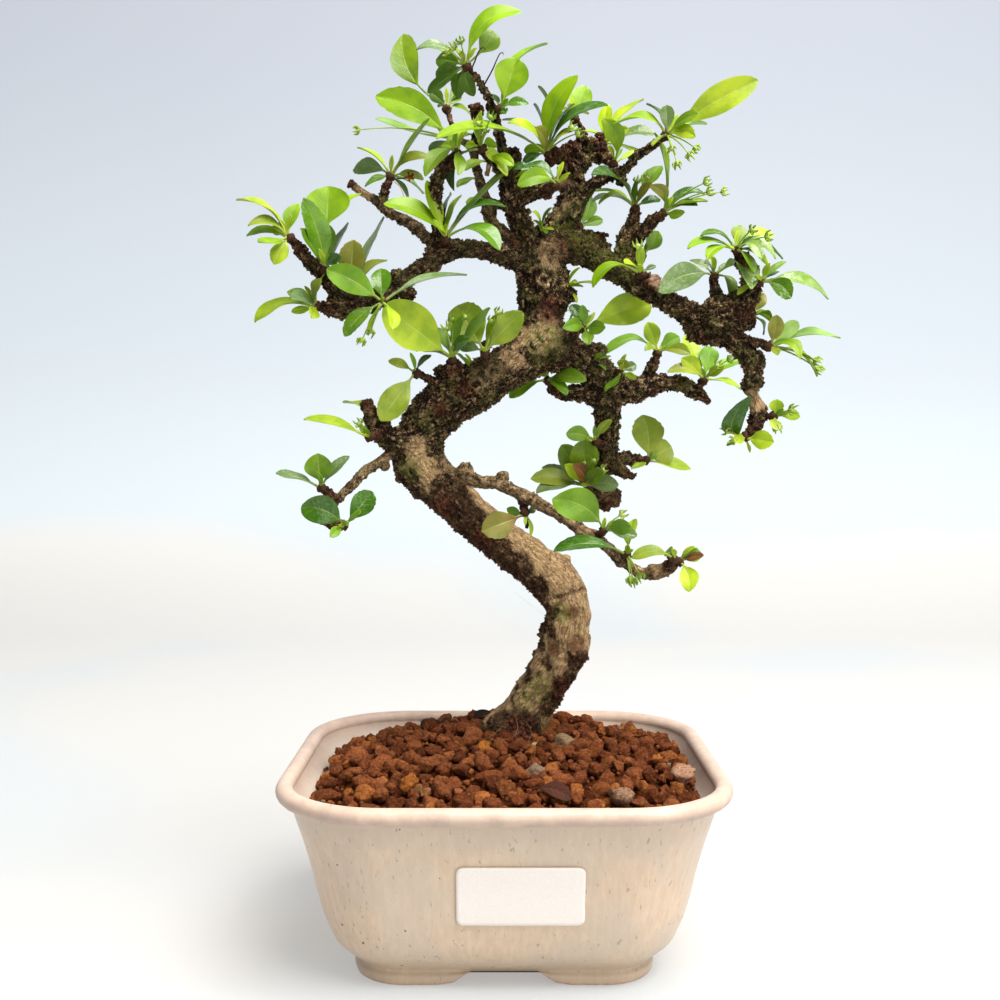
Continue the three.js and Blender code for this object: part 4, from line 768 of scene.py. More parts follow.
def bark_material():
    """Crumbly dark bark with worn tan tops and crevices darkened with painted shade on old rough wood, and
    tan bark with fine cracks elsewhere; the creases across the trunk are darkened with painted shade too.
    """
    paint = Paint("bark")
    where = paint.place()
    aged = paint.between(paint.split(where)[2], *WORN_BARK)
    grain = paint.attribute("grain")
    masks = paint.split(paint.attribute("masks"))
    pale, moss, rust = masks[0], masks[1], masks[2]
    form = paint.split(paint.attribute("form"))
    height, crease, cut = form[0], form[1], form[2]
    broad = paint.noise(where, 0.13, 4, 0.65)
    patchy = paint.noise(where, 0.38, 5, 0.7)
    specks = paint.noise(where, 2.0, 6, 0.8)
    flakes = paint.noise(paint.stretch(grain, (1, 1, 0.35)), 1.2, 6, 0.75)
    tone = paint.plus(paint.times(specks, 0.55), paint.times(flakes, 0.45))
    # The bark's height sets its tone: the crevices are darkened with painted shade, and the raised tops
    # lightened as wear.
    tone = paint.plus(tone, paint.times(height, 0.07))
    tone = paint.plus(tone, paint.between(patchy, 0.3, 0.7, -0.04, 0.04))
    rough = paint.ramp(tone, (0.41, "0b0704"), (0.47, "1f140b"), (0.52, "45301d"), (0.56, "8a6a42"),
                       (0.61, "e0c496"))
    olive = paint.times(paint.between(broad, 0.48, 0.6), paint.between(tone, 0.42, 0.55))
    rough = paint.mix(paint.times(olive, 0.6), rough, linear("66682f"))
    ruddy = paint.times(paint.between(broad, 0.46, 0.34), paint.between(patchy, 0.45, 0.6))
    rough = paint.mix(paint.times(ruddy, 0.6), rough, linear("552a1a"))
    wander = paint.stretch(paint.noise(where, 0.6, 4, 0.6, "Color"), (2.4, 2.4, 2.4))
    wander = paint.shifted(grain, wander)
    plates = paint.cells(paint.stretch(wander, (1, 1, 0.28)), 0.42, "DISTANCE_TO_EDGE")
    cracks = paint.between(plates, 0.0, 0.055, 1, 0)
    finer = paint.noise(paint.stretch(grain, (1, 1, 0.3)), 1.1, 5, 0.7)
    finer = paint.between(paint.math("ABSOLUTE", paint.minus(finer, 0.5)), 0.0, 0.03, 0.8, 0)
    cracks = paint.larger(cracks, paint.times(finer, paint.between(patchy, 0.45, 0.6)))
    plain = paint.ramp(flakes, (0.36, "745a3b"), (0.47, "9c7e58"), (0.55, "b4966e"), (0.66, "d2b78d"))
    plain = paint.mix(paint.between(specks, 0.54, 0.64, 0, 0.6), plain, linear("6a4f33"))
    plain = paint.mix(paint.times(olive, 0.3), plain, linear("8c8450"))
    plain = paint.mix(paint.times(cracks, 0.75), plain, linear("4a3423"))
    edge = paint.plus(pale, paint.times(paint.minus(patchy, 0.5), 1.8))
    edge = paint.plus(edge, paint.times(paint.minus(specks, 0.5), 2.2))
    smoothness = paint.between(edge, 0.3, 0.7)
    worn = paint.ramp(tone, (0.4, "2c1d12"), (0.48, "4a3423"), (0.54, "6d5036"), (0.6, "94744f"),
                      (0.66, "c0a074"))
    rough = paint.mix(aged, rough, worn)
    colour = paint.mix(smoothness, rough, plain)
    reddish = paint.ramp(tone, (0.42, "240f08"), (0.5, "4c2114"), (0.58, "7a3d29"), (0.66, "ab7053"))
    rusty = paint.times(rust, paint.between(flakes, 0.4, 0.5))
    colour = paint.mix(paint.times(rusty, 0.85), colour, reddish)
    mossy = paint.times(moss, paint.between(paint.noise(where, 0.9, 5, 0.75), 0.45, 0.6))
    colour = paint.mix(mossy, colour, linear("707b30"))
    # Painted shade: the creases across the trunk are darkened where the shade falls in them.
    crease = paint.times(crease, paint.between(specks, 0.38, 0.6))
    colour = paint.mix(crease, colour, linear("3a2118"))
    colour = paint.mix(cut, colour, linear("cfa98a"))
    relief = paint.plus(paint.times(cracks, -0.6), paint.times(specks, 1.2))
    relief = paint.plus(relief, paint.times(flakes, 0.9))
    depth = paint.between(smoothness, 0, 1, 1.0, 0.35)
    normal = paint.bump(paint.times(relief, depth), 1.0, 1.0)
    return paint.finish(colour, normal, Roughness=0.85, Specular_IOR_Level=0.2)


LIGHT_THROUGH_LEAVES = 0.36


def leaf_material():
    """Young leaves are smooth and bright, old ones glossy with a pebbled skin."""
    paint = Paint("leaf")
    tint = paint.attribute("tint")
    nature = paint.split(paint.attribute("nature"))
    age, painted_sheen, spotted = nature[0], nature[1], nature[2]
    marks = paint.split(paint.attribute("marks"))
    across, along, side = marks[0], marks[1], marks[2]
    where = paint.place()
    away = paint.math("ABSOLUTE", across)
    rib = paint.times(paint.between(away, 0.015, 0.07, 1, 0), paint.between(along, 1.0, 0.5))
    slant = paint.minus(along, paint.times(away, 0.2))
    wave = paint.math("SINE", paint.times(slant, 44.0))
    veins = paint.times(paint.between(wave, 0.9, 1.0), paint.between(away, 0.85, 0.2))
    veins = paint.times(veins, paint.between(age, 0.2, 0.8, 0.35, 1))
    tone = paint.noise(where, 0.13, 3, 0.55)
    darker = paint.mix(1.0, tint, linear("d2e0b0"), "MULTIPLY")
    living = paint.between(age, -0.5, 0)
    colour = paint.mix(paint.between(tone, 0.35, 0.65), tint, darker)
    base = paint.times(paint.between(along, 0.3, 0.05, 0, 0.35), living)
    colour = paint.mix(base, colour, linear("d6de7c"))
    colour = paint.mix(paint.times(veins, 0.12), colour, linear("cfdf8c"))
    rib_tone = paint.times(rib, paint.times(living, 0.35))
    colour = paint.mix(rib_tone, colour, linear("ccd878"))
    under = paint.times(paint.between(side, -0.05, -0.3, 0, 0.3), living)
    colour = paint.mix(under, colour, linear("a6b878"))
    pebbles = paint.cells(where, 1.15, "SMOOTH_F1")
    # Painted sheen: a pale glint is painted on the upper side, in blotches broken by the pebbles, for the
    # reflection of the light on glossy leaves.
    upper = paint.between(side, 0.05, 0.3)
    painted_glint = paint.times(paint.between(paint.noise(where, 0.2, 3, 0.6), 0.44, 0.58), upper)
    painted_glint = paint.times(painted_glint, paint.between(pebbles, 0.6, 0.2, 0.25, 1))
    colour = paint.mix(paint.times(painted_glint, painted_sheen), colour, linear("c9d8b4"))
    browned = paint.between(spotted, 0.5, 0.8, 0, 0.75)
    browned = paint.times(paint.between(along, 0.2, 0.5, 1, 0), browned)
    colour = paint.mix(browned, colour, linear("7d5524"))
    dots = paint.times(paint.between(paint.cells(where, 0.32), 0.13, 0.09), spotted)
    colour = paint.mix(dots, colour, linear("33300f"))
    fine = paint.noise(where, 1.4, 2, 0.5)
    relief = paint.plus(paint.times(veins, -0.5), paint.times(rib, -0.8))
    relief = paint.plus(relief, paint.times(paint.times(pebbles, age), -0.9))
    relief = paint.plus(relief, paint.times(fine, 0.4))
    normal = paint.bump(relief, 0.45, 0.25)
    dull = paint.between(living, 0, 1, 0.9, 0)
    gloss = paint.larger(paint.between(age, 0.2, 0.9, 0.42, 0.2), dull)
    return paint.finish(colour, normal, LIGHT_THROUGH_LEAVES, Roughness=gloss)


# Heights between which the colour changes, from plain to changed: grey painted shade sets in under the lip,
# and the colour turns darker and browner toward the foot
SHADE_UNDER_LIP = (47, 55)
TOWARD_FOOT = (17, 7)


def glaze_material():
    """Warm grey glaze with faint streaks that ran down, short dark dashes, white specks and pinholes, with
    painted shade under the lip.
    """
    paint = Paint("glaze")
    where = paint.place()
    zones = paint.split(paint.attribute("zones"))
    lip, inner, raw = zones[0], zones[1], zones[2]
    up = paint.split(where)[2]
    cloud = paint.noise(where, 0.035, 4, 0.55)
    streaks = paint.noise(paint.stretch(where, (1, 1, 0.1)), 0.5, 5, 0.6)
    dashes = paint.noise(paint.stretch(where, (1, 1, 0.25)), 0.8, 2, 0.5)
    specks = paint.cells(where, 0.55)
    pits = paint.cells(where, 0.11)
    colour = paint.ramp(streaks, (0.35, "cab097"), (0.5, "d0b69c"), (0.65, "d7bda3"))
    colour = paint.mix(paint.between(cloud, 0.42, 0.62, 0, 0.5), colour, linear("c2b2a2"))
    # Painted shade: a blotchy grey band darkens the wall just under the lip, where the lip shades it.
    painted_shade_under_lip = paint.times(paint.between(up, *SHADE_UNDER_LIP), paint.between(cloud, 0.6, 0.45))
    colour = paint.mix(paint.times(painted_shade_under_lip, 0.5), colour, linear("b9ab9d"))
    colour = paint.mix(paint.between(up, *TOWARD_FOOT, 0, 0.4), colour, linear("ab9478"))
    colour = paint.mix(paint.between(dashes, 0.65, 0.72, 0, 0.55), colour, linear("857a6c"))
    colour = paint.mix(paint.between(specks, 0.09, 0.06, 0, 0.45), colour, linear("efe4d6"))
    rim = paint.ramp(paint.noise(where, 0.12, 5, 0.65), (0.35, "b59e90"), (0.5, "c0a795"), (0.62, "c8b09e"))
    colour = paint.mix(lip, colour, rim)
    wall = paint.ramp(cloud, (0.35, "c3b5a6"), (0.6, "d0c2b3"))
    colour = paint.mix(paint.times(inner, 0.85), colour, wall)
    low_pits = paint.times(pits, paint.between(up, 10, 60, 1, 1.9))
    colour = paint.mix(paint.between(low_pits, 0.075, 0.05, 0, 0.85), colour, linear("4c3c2e"))
    clay = paint.ramp(paint.noise(where, 0.8, 4, 0.6), (0.35, "b07a56"), (0.65, "d3a380"))
    colour = paint.mix(raw, colour, clay)
    relief = paint.plus(streaks, paint.times(paint.noise(where, 0.4, 3, 0.5), 0.6))
    relief = paint.minus(relief, paint.between(low_pits, 0.075, 0.05, 0, 0.6))
    dull_lip = paint.between(lip, 0, 1, 0.34, 0.5)
    gloss = paint.larger(paint.between(raw, 0.2, 0.8, 0.34, 0.85), dull_lip)
    return paint.finish(colour, paint.bump(relief, 0.3, 0.5), Roughness=gloss)


def paper_material():
    paint = Paint("paper")
    fibres = paint.noise(paint.place(), 1.5, 4, 0.6)
    colour = paint.ramp(fibres, (0.3, "e9ded6"), (0.7, "f0e7df"))
    return paint.finish(colour, paint.bump(fibres, 0.15, 0.1), Roughness=0.6)


def soil_material():
    paint = Paint("fired_clay")
    tint = paint.attribute("tint")
    where = paint.place()
    crumbs = paint.noise(where, 0.9, 7, 0.8)
    dust = paint.noise(where, 0.35, 4, 0.7)
    pores = paint.cells(where, 1.1)
    colour = paint.mix(paint.between(crumbs, 0.36, 0.54, 0.75, 0), tint, linear("2a0f04"))
    colour = paint.mix(paint.between(crumbs, 0.54, 0.68, 0, 0.4), colour, linear("b87842"))
    colour = paint.mix(paint.between(dust, 0.5, 0.7, 0, 0.35), colour, linear("95592c"))
    relief = paint.plus(crumbs, paint.times(pores, 0.35))
    return paint.finish(colour, paint.bump(relief, 1.0, 1.2), Roughness=0.97, Specular_IOR_Level=0.1)


def mesh_material():
    paint = Paint("black_plastic")
    grain = paint.noise(paint.place(), 2.0, 3, 0.5)
    colour = paint.ramp(grain, (0.3, "1b1c1e"), (0.7, "2c2e31"))
    return paint.finish(colour, paint.bump(grain, 0.2, 0.2), Roughness=0.55)


# Wood

BARK_SEED = 7            # without one, the vector noise of the bark would differ on every run
BARK_STEP = 1.0          # spacing of the points along a branch
VOXELS = {"tree_wood": 0.575, "crown_wood": 0.47}    # fineness of the fused surface
CROWN_FROM = 215         # branches that reach above this height are fused apart from the trunk
SMOOTH_TOP = 166         # height up to which the trunk's bark stays smooth and pale
# How pale and smooth the bark of other branches is
PALE_BRANCHES = {
    "front_bough": 0.6, "left_low_twig": 0.6, "left_high_bough": 0.45, "left_low_bough": 0.25,
    "right_bough": 0.2, "crown_back_low": 0.5, "crown_back_twig": 0.5, "crown_stick": 0.8,
    "crown_slant": 0.4,
}
# Places on the wood: [right, depth, up, radius], and a strength where it is faint
PATCHES = {
    "pale": [(-29, 3, 171, 8), (-26, 4, 163, 5), (26, 6, 128, 12), (88, -19, 190, 5),
             (-49, 22, 262, 6), (12, 3, 214, 11, 0.75), (3, 3, 206, 8, 0.65),
             (17, 4, 242, 8, 0.6), (19, 8, 258, 6, 0.75), (20, 8, 267, 7, 0.75), (-6, 1, 199, 7, 0.5)],
    # The dark places lie mostly on the undersides of the trunk's bends and darken the bark there, partly as
    # rougher bark and partly as painted shade.
    "dark": [(-22, 4, 160, 4), (-16, 5, 152, 7), (-12, 6, 147, 7), (-4, 6, 137, 7), (4, 7, 130, 7),
             (10, 9, 124, 6), (15, 11, 117, 5), (27, 10, 98, 5), (22, 11, 90, 5), (18, 12, 82, 6),
             (6, 10, 72, 9), (-2, 12, 76, 5), (-23, 5, 174, 5), (-37, 8, 170, 4), (-34, 8, 160, 5)],
    "moss": [(-33, 4, 166, 5), (15, 4, 210, 8), (12, 9, 88, 6), (7, 8, 84, 6), (20, 8, 115, 4),
             (36, 0, 240, 9), (27, 5, 246, 6), (22, 9, 252, 6), (44, -2, 236, 6)],
    "rust": [(26, 8, 104, 4), (17, 8, 102, 3), (24, 8, 115, 3), (23, 5, 202, 5), (-22, 5, 153, 5),
             (17, 3, 222, 6), (22, 2, 245, 5), (-14, 3, 194, 4), (-22, 3, 187, 3.5), (20, 11, 88, 5),
             (6, 10, 72, 7), (-8, 5, 141, 5)],
    "cut": [(-54.5, 17, 267, 2.5), (-49, 2, 191, 2), (53.5, -9, 231.5, 2)],
}
# Creases across the front of the trunk, each between two points [right, up]; they are carved into the bark
# and darkened with painted shade
CREASES = [((16.6, 119.8), (28.6, 122.6)), ((-18.3, 165.6), (-26, 155))]
# Round scars of lost twigs: [right, depth, up, radius]
SCARS = [(24.5, 5, 257, 2.6), (53.5, -9, 231.5, 2.2), (14, 2, 232, 2), (-10, 2, 196, 2)]


def route_samples(route):
    """Points along a branch in metres with their radii, on a smooth curve through the route."""
    given = [(*place(*p[:3]), p[3] * MM) for p in route]
    return curve_rows(given, lambda a, b: max(1, round(np.linalg.norm(b[:3] - a[:3]) / (BARK_STEP * MM))))


class Limb:
    """A branch as a line of points with radii and a frame that follows the line without twisting."""

    def __init__(self, branch):
        rows = route_samples(branch["route"])
        self.name = branch["name"]
        self.centres = [Vector(row[:3]) for row in rows]
        self.radii = [max(row[3], 0.4 * MM) for row in rows]
        self.lengths = [0.0]
        for a, b in zip(self.centres, self.centres[1:]):
            self.lengths.append(self.lengths[-1] + (b - a).length)
        self.tangents = []
        self.sides = []
        side = Vector((0, 1, 0))
        for i in range(len(self.centres)):
            before = self.centres[max(i - 1, 0)]
            after = self.centres[min(i + 1, len(self.centres) - 1)]
            tangent = (after - before).normalized()
            side = side - tangent * side.dot(tangent)
            if side.length < 0.2:
                side = Vector((1, 0, 0)) - tangent * tangent.x
            side.normalize()
            self.tangents.append(tangent)
            self.sides.append(side.copy())

    def across(self, i):
        return self.tangents[i].cross(self.sides[i])

    def shell(self):
        points = []
        count = 14 if max(self.radii) < 4 * MM else 28
        seed = Vector((len(self.name), self.radii[0] / MM, 0))
        for i, centre in enumerate(self.centres):
            across = self.across(i)
            for k in range(count):
                outward = turned(self.sides[i], across, math.tau * k / count)
                spot = centre + outward * self.radii[i]
                lump = noise.noise(spot / (5 * MM) + seed) * 0.12 + noise.noise(spot / (2.4 * MM)) * 0.07
                points.append(centre + outward * self.radii[i] * (1 + lump))
        return points, loft_faces(len(self.centres), count)


def ball(centre, radius, rings=5, count=8):
    points = []
    for ring in range(1, rings):
        tilt = math.pi * ring / rings
        for k in range(count):
            angle = math.tau * k / count
            spot = (math.sin(tilt) * math.cos(angle), math.sin(tilt) * math.sin(angle), -math.cos(tilt))
            points.append(centre + Vector(spot) * radius)
    return points, loft_faces(rings - 1, count)


def roughness_at(limb, index):
    """How knobby and dark the bark is there: old wood low on the trunk is smooth."""
    height = (limb.centres[index].z - POT_LOW.z) / MM
    if limb.name == "trunk":
        return ease(height, SMOOTH_TOP - 13, SMOOTH_TOP + 17)
    return 1 - PALE_BRANCHES.get(limb.name, 0)


def bark_nodules(limbs):
    """Small lumps where old leaves and twigs were, thick on the rough wood and few on the smooth."""
    draw = random.Random(7)
    balls = []
    for limb in limbs:
        for i in range(2, len(limb.centres) - 1):
            rough = roughness_at(limb, i)
            for _ in range(4):
                if draw.random() > 0.02 + 0.32 * rough * min(limb.radii[i] / (5 * MM), 1.2):
                    continue
                angle = draw.uniform(0, math.tau)
                outward = turned(limb.sides[i], limb.across(i), angle)
                size = draw.triangular(0.5, 2.3, 0.8) * MM * (0.5 + 0.5 * rough)
                size = min(size, limb.radii[i] * 0.7)
                balls.append((limb.centres[i] + outward * (limb.radii[i] - 0.35 * size), size))
    return balls


def fused(points, faces, voxel):
    """One closed surface around overlapping shells, slightly smoothed."""
    rough = new_object("tree_shells", points, faces)
    remesh = rough.modifiers.new("fuse", "REMESH")
    remesh.mode = "VOXEL"
    remesh.voxel_size = voxel * MM
    soften = rough.modifiers.new("soften", "SMOOTH")
    soften.factor = 0.5
    soften.iterations = 2
    view = bpy.context.evaluated_depsgraph_get()
    mesh = bpy.data.meshes.new_from_object(rough.evaluated_get(view))
    bpy.data.objects.remove(rough)
    return mesh


def patch_share(kind, point):
    share = 0
    for right, depth, up, radius, *strength in PATCHES[kind]:
        away = (point - place(right, depth, up)).length / (radius * MM)
        if away < 1.3:
            share = max(share, (1 - ease(away, 0.5, 1.3)) * (strength[0] if strength else 1))
    return share


def crease_share(point):
    """How deep a crease across the trunk is there, from 0 to 1."""
    share = 0
    for (right_a, up_a), (right_b, up_b) in CREASES:
        a = place(right_a, 5, up_a)
        b = place(right_b, 5, up_b)
        run = Vector((b.x - a.x, b.z - a.z))
        spot = Vector((point.x - a.x, point.z - a.z))
        along = spot.dot(run) / run.length_squared
        if -0.1 < along < 1.1 and abs(point.y - a.y) < 12 * MM:
            across = abs(spot.x * run.y - spot.y * run.x) / run.length / MM
            across += 0.5 * noise.noise(point / MM * 0.4)
            share = max(share, 1 - ease(across, 0.2, 1.1))
    return share


def scar_height(point):
    height = 0
    for right, depth, up, radius in SCARS:
        away = (point - place(right, depth, up)).length / MM
        if away < 3 * radius:
            height += math.exp(-((away - radius) / 0.6) ** 2) - 0.9 * math.exp(-(away / (0.5 * radius)) ** 2)
    return height


def bark_height(spot, grain, rough):
    """How far bark stands out there, in millimetres. spot and grain are places in millimetres."""
    fissure = noise.noise(Vector((grain[0] * 0.8, grain[1] * 0.8, grain[2] * 0.13)))
    cracks = -0.25 * (1 - ease(abs(fissure), 0, 0.15)) * (1 - 0.5 * rough)
    lumps = noise.noise(spot * 0.28) * 0.7 + noise.noise(spot * 0.75) * 0.5
    flake = Vector((grain[0], grain[1], grain[2] * 0.5)) * 0.5 + noise.noise_vector(spot * 0.4) * 0.8
    near, second = noise.voronoi(flake)[0][:2]
    plates = (0.5 - near) + 0.5 * min(second - near, 0.4)
    ridges = 0.5 - abs(noise.noise(Vector((grain[0] * 0.9, grain[1] * 0.9, grain[2] * 0.35)))) * 2
    crumbs = 0.8 * noise.noise(spot * 1.5) + 0.5 * noise.noise(spot * 2.6)
    fine = 0.9 * plates + 0.6 * ridges + 1.3 * crumbs
    return cracks + lumps * (0.3 + 0.45 * rough) + fine * (0.12 + 0.88 * rough)


def in_crown(limb):
    highest = max(centre.z for centre in limb.centres) - POT_LOW.z
    return limb.name != "trunk" and (highest > CROWN_FROM * MM or limb.name.startswith("right_"))


def distance_to(limb, point):
    return min((centre - point).length for centre in limb.centres)


def make_tree():
    """The trunk with the lower boughs, and the crown's branches, each fused into one piece."""
    noise.seed_set(BARK_SEED)
    limbs = [Limb(branch) for branch in BRANCHES + SIDE_TWIGS]
    groups = {"tree_wood": [limb for limb in limbs if not in_crown(limb)],
              "crown_wood": [limb for limb in limbs if in_crown(limb)]}
    knobs = {name: [] for name in groups}
    for right, depth, up, radius in KNOBS:
        centre = place(right, depth, up)
        nearest = min(groups, key=lambda name: min(distance_to(limb, centre) for limb in groups[name]))
        knobs[nearest].append((centre, radius * MM))
    material = bark_material()
    for name, group in groups.items():
        make_wood(name, group, knobs[name], material)
    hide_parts("tree")


def make_wood(name, limbs, knobs, material):
    points = []
    faces = []

    def gather(shell):
        first = len(points)
        points.extend(shell[0])
        faces.extend(tuple(first + k for k in face) for face in shell[1])

    for limb in limbs:
        gather(limb.shell())
    for centre, radius in knobs:
        gather(ball(centre, radius, 7, 12))
    for centre, radius in bark_nodules(limbs):
        gather(ball(centre, radius))
    mesh = fused(points, faces, VOXELS[name])
    tree = linked(name, mesh)
    spots = [(limb, i) for limb in limbs for i in range(len(limb.centres))]
    search = KDTree(len(spots))
    for index, (limb, i) in enumerate(spots):
        search.insert(limb.centres[i], index)
    search.balance()

    def above_bark(found):
        limb, i = spots[found[1]]
        return found[2] - limb.radii[i]

    grain = []
    masks = []
    form = []
    moved = []
    for vertex in mesh.vertices:
        point = vertex.co
        best = min(search.find_n(point, 8), key=above_bark)
        limb, i = spots[best[1]]
        offset = point - limb.centres[i]
        grain.append((offset.dot(limb.sides[i]) / MM, offset.dot(limb.across(i)) / MM,
                      (limb.lengths[i] + offset.dot(limb.tangents[i])) / MM))
        spot = point / MM
        pale = max(1 - roughness_at(limb, i), patch_share("pale", point))
        # Painted shade: the trunk's faces that look down and to the left turn to dark rough bark, partly for
        # the rougher bark there and partly for the shade that falls on them.
        if limb.name == "trunk":
            under = -vertex.normal.x * 0.75 - vertex.normal.z * 0.65 + 0.4 * noise.noise(spot * 0.2)
            pale -= 0.9 * ease(under, 0.2, 0.65)
        # Painted shade: the dark places darken the bark, partly as rougher bark and partly as shade on the
        # undersides.
        pale -= 1.1 * patch_share("dark", point)
        rough = 1 - ease(pale + 0.5 * noise.noise(spot * 0.35), 0.2, 0.7)
        crease = crease_share(point) if limb.name == "trunk" else 0
        slim = min(0.45 + limb.radii[i] / (6 * MM), 1)
        height = bark_height(spot, grain[-1], rough) * slim + scar_height(point) - 0.6 * crease
        rust = patch_share("rust", point)
        if limb.name != "trunk":
            to_end = (limb.lengths[-1] - limb.lengths[i]) / MM
            rust = max(rust, 0.75 * (1 - ease(to_end, 1, 8)))
        masks.append((pale, patch_share("moss", point), rust))
        form.append((height, crease, patch_share("cut", point)))
        moved.append(point + vertex.normal * height * MM)
    for vertex, point in zip(mesh.vertices, moved):
        vertex.co = point
    mesh.update()
    set_vectors(tree, "grain", grain)
    set_vectors(tree, "masks", masks)
    set_vectors(tree, "form", form)
    mesh.materials.clear()
    smooth(tree)
    stand_for(tree, "bark", material)


# Leaves

# Each kind of leaf: colour, age, share of pale painted sheen and of dark spots
# The tint of s is a darker copy of the mid greens that paints the shade on leaves deep in the crown, p is a
# paler one that paints the light shining through backlit leaves, and the paler, greyer tints of w and q are
# partly their own colour and partly painted sheen.
KINDS = {
    "y": ("bcd12a", 0.1, 0, 0), "v": ("98bc06", 0.1, 0, 0), "x": ("d3e41a", 0, 0, 0),
    "l": ("b2c430", 0, 0, 0), "m": ("7fa81c", 0.35, 0.05, 0), "n": ("86a60a", 0.35, 0.05, 0.1),
    "s": ("5c8006", 0.4, 0, 0), "e": ("5f8a10", 0.9, 0.08, 0), "d": ("42700c", 1.0, 0.12, 0),
    "g": ("789058", 0.85, 0.15, 0), "k": ("5e7840", 0.8, 0.1, 0.2), "w": ("8faa70", 0.9, 0.45, 0),
    "q": ("93b44c", 1.0, 0.45, 0), "p": ("b2d272", 0.2, 0, 0), "o": ("a0ae34", 0.3, 0, 0.2),
    "t": ("9c983c", 0.3, 0, 0.6), "r": ("90863a", 0.3, 0, 0.8), "b": ("80502a", 0.2, 0, 0),
}
ACROSS = (-1, -0.82, -0.5, -0.16, 0, 0.16, 0.5, 0.82, 1)     # places of the points across a blade
ROWS = 19                # rows of points along a blade
CROWNING = 0.08          # how far a blade bows to its face, as a share of its length
CLEAR_OF_TWIG = 0.4      # a blade that turns back more than this along its twig bends clear of it,
TURN = 0.25              # by this share of its length
FULL_WIDTH = 0.4         # a blade is at least this share of its length wide, seen face on,
WIDEST = 9               # but no wider than this
FOLD = 0.2               # how far the two halves of a blade rise from its midrib
BLADE_THICKNESS = 0.34
STALK_THICKNESS = 0.9
STALK_SHARE = 0.14       # how much of a leaf's length its stalk takes


def twig_end(branch):
    """The twig's direction and the middle of the hub on its end."""
    before, end = (place(*p[:3]) for p in branch["route"][-2:])
    along = (end - before).normalized()
    return along, end + along * (HUB_RADIUS + GAP) * MM


def outline(share, stalk, widest_at, slender, blunt):
    """Half width of a spoon-shaped blade at a share of its length, as a share of its widest."""
    if share < stalk:
        return 0
    if share < widest_at:
        return math.sin(math.pi / 2 * (share - stalk) / (widest_at - stalk)) ** slender
    return max(1 - ((share - widest_at) / (1.004 - widest_at)) ** 2, 0) ** blunt


def blade(shells, root, tip, seen_width, arch, twig_along, look, draw, stalk=STALK_SHARE, full=FULL_WIDTH):
    chord = tip - root
    length = chord.length
    along = chord.normalized()
    to_viewer = Vector((0, -1, 0))
    to_viewer = (to_viewer - along * to_viewer.dot(along)).normalized()
    upward = along.cross(to_viewer)
    if upward.z < 0:
        upward.negate()
    seen = seen_width * MM
    width = max(seen, min(full * length, WIDEST * MM))
    facing = min(seen / width, 1)
    face = to_viewer * facing + upward * math.sqrt(1 - facing * facing)
    sideways = along.cross(face)
    turn_back = max(0, CLEAR_OF_TWIG - along.dot(twig_along))
    bend = ((root + tip) / 2 + upward * arch * length + face * CROWNING * length
            + twig_along * TURN * turn_back * length)
    wave = draw.uniform(0.0, 0.16)
    phase = draw.uniform(0, math.tau)
    teeth = draw.choice((0, 0, 0.05, 0.09))
    widest_at = stalk + (1 - stalk) * draw.uniform(0.48, 0.64)
    slender = draw.uniform(0.8, 1.25)
    blunt = draw.uniform(0.5, 0.75)
    points = []
    marks = []
    for row in range(ROWS):
        share = (row / (ROWS - 1)) ** 0.9
        middle = on_arc(root, bend, tip, share)
        tangent = ((bend - root) * (1 - share) + (tip - bend) * share).normalized()
        normal = sideways.cross(tangent).normalized()
        if normal.dot(face) < 0:
            normal.negate()
        notch = 1 - teeth * (row % 2) * ease(share, 0.66, 0.8)
        half = outline(share, stalk, widest_at, slender, blunt) * notch * width / 2
        half = max(half, STALK_THICKNESS / 2 * MM * (1 - 0.7 * share))
        slim = ease(share, stalk * 0.6, stalk + 0.15)
        thick = (STALK_THICKNESS * (1 - slim) + BLADE_THICKNESS * slim) / 2 * MM
        ring = []
        for side in (1, -1):
            for u in ACROSS if side > 0 else ACROSS[-2:0:-1]:
                edge = abs(u)
                lift = FOLD * half * edge ** 1.4 * slim
                lift += wave * half * edge ** 2 * math.sin(share * 9 + phase + u)
                skin = thick * (1 - edge ** 3) * side
                if u == 0:
                    skin -= 0.1 * MM * slim
                if side < 0 and u == 0:
                    skin -= 0.15 * MM * slim
                ring.append(middle + sideways * u * half + normal * (lift + skin))
                marks.append((u, share, side * (1 - edge ** 3)))
        points.extend(ring)
    count = 2 * len(ACROSS) - 2
    shells.add(points, loft_faces(ROWS, count), *look, marks)


def tube(path, radii, sides=5):
    """A thin closed tube along points."""
    points = []
    for i, centre in enumerate(path):
        along = (path[min(i + 1, len(path) - 1)] - path[max(i - 1, 0)]).normalized()
        side, other = square_to(along)
        for k in range(sides):
            points.append(centre + turned(side, other, math.tau * k / sides) * radii[i])
    return points, loft_faces(len(path), sides)


def flower_bud(shells, root, tip, draw):
    """A thin stalk with a star of five narrow sepals round a pale bud."""
    middle = (root + tip) / 2 + Vector((0, 0, 0.12 * (tip - root).length))
    path = [on_arc(root, middle, tip, step / 6) for step in range(7)]
    green = linear(draw.choice(("a4c046", "94b238", "bacb66")))
    points, faces = tube(path, [(0.38 - 0.03 * step) * MM for step in range(7)])
    shells.add(points, faces, green)
    along = (path[-1] - path[-2]).normalized()
    points, faces = ball(tip + along * 0.9 * MM, draw.uniform(0.65, 0.95) * MM, 6, 8)
    shells.add(points, faces, linear("ccd686"))
    star(shells, tip, along, green, draw)


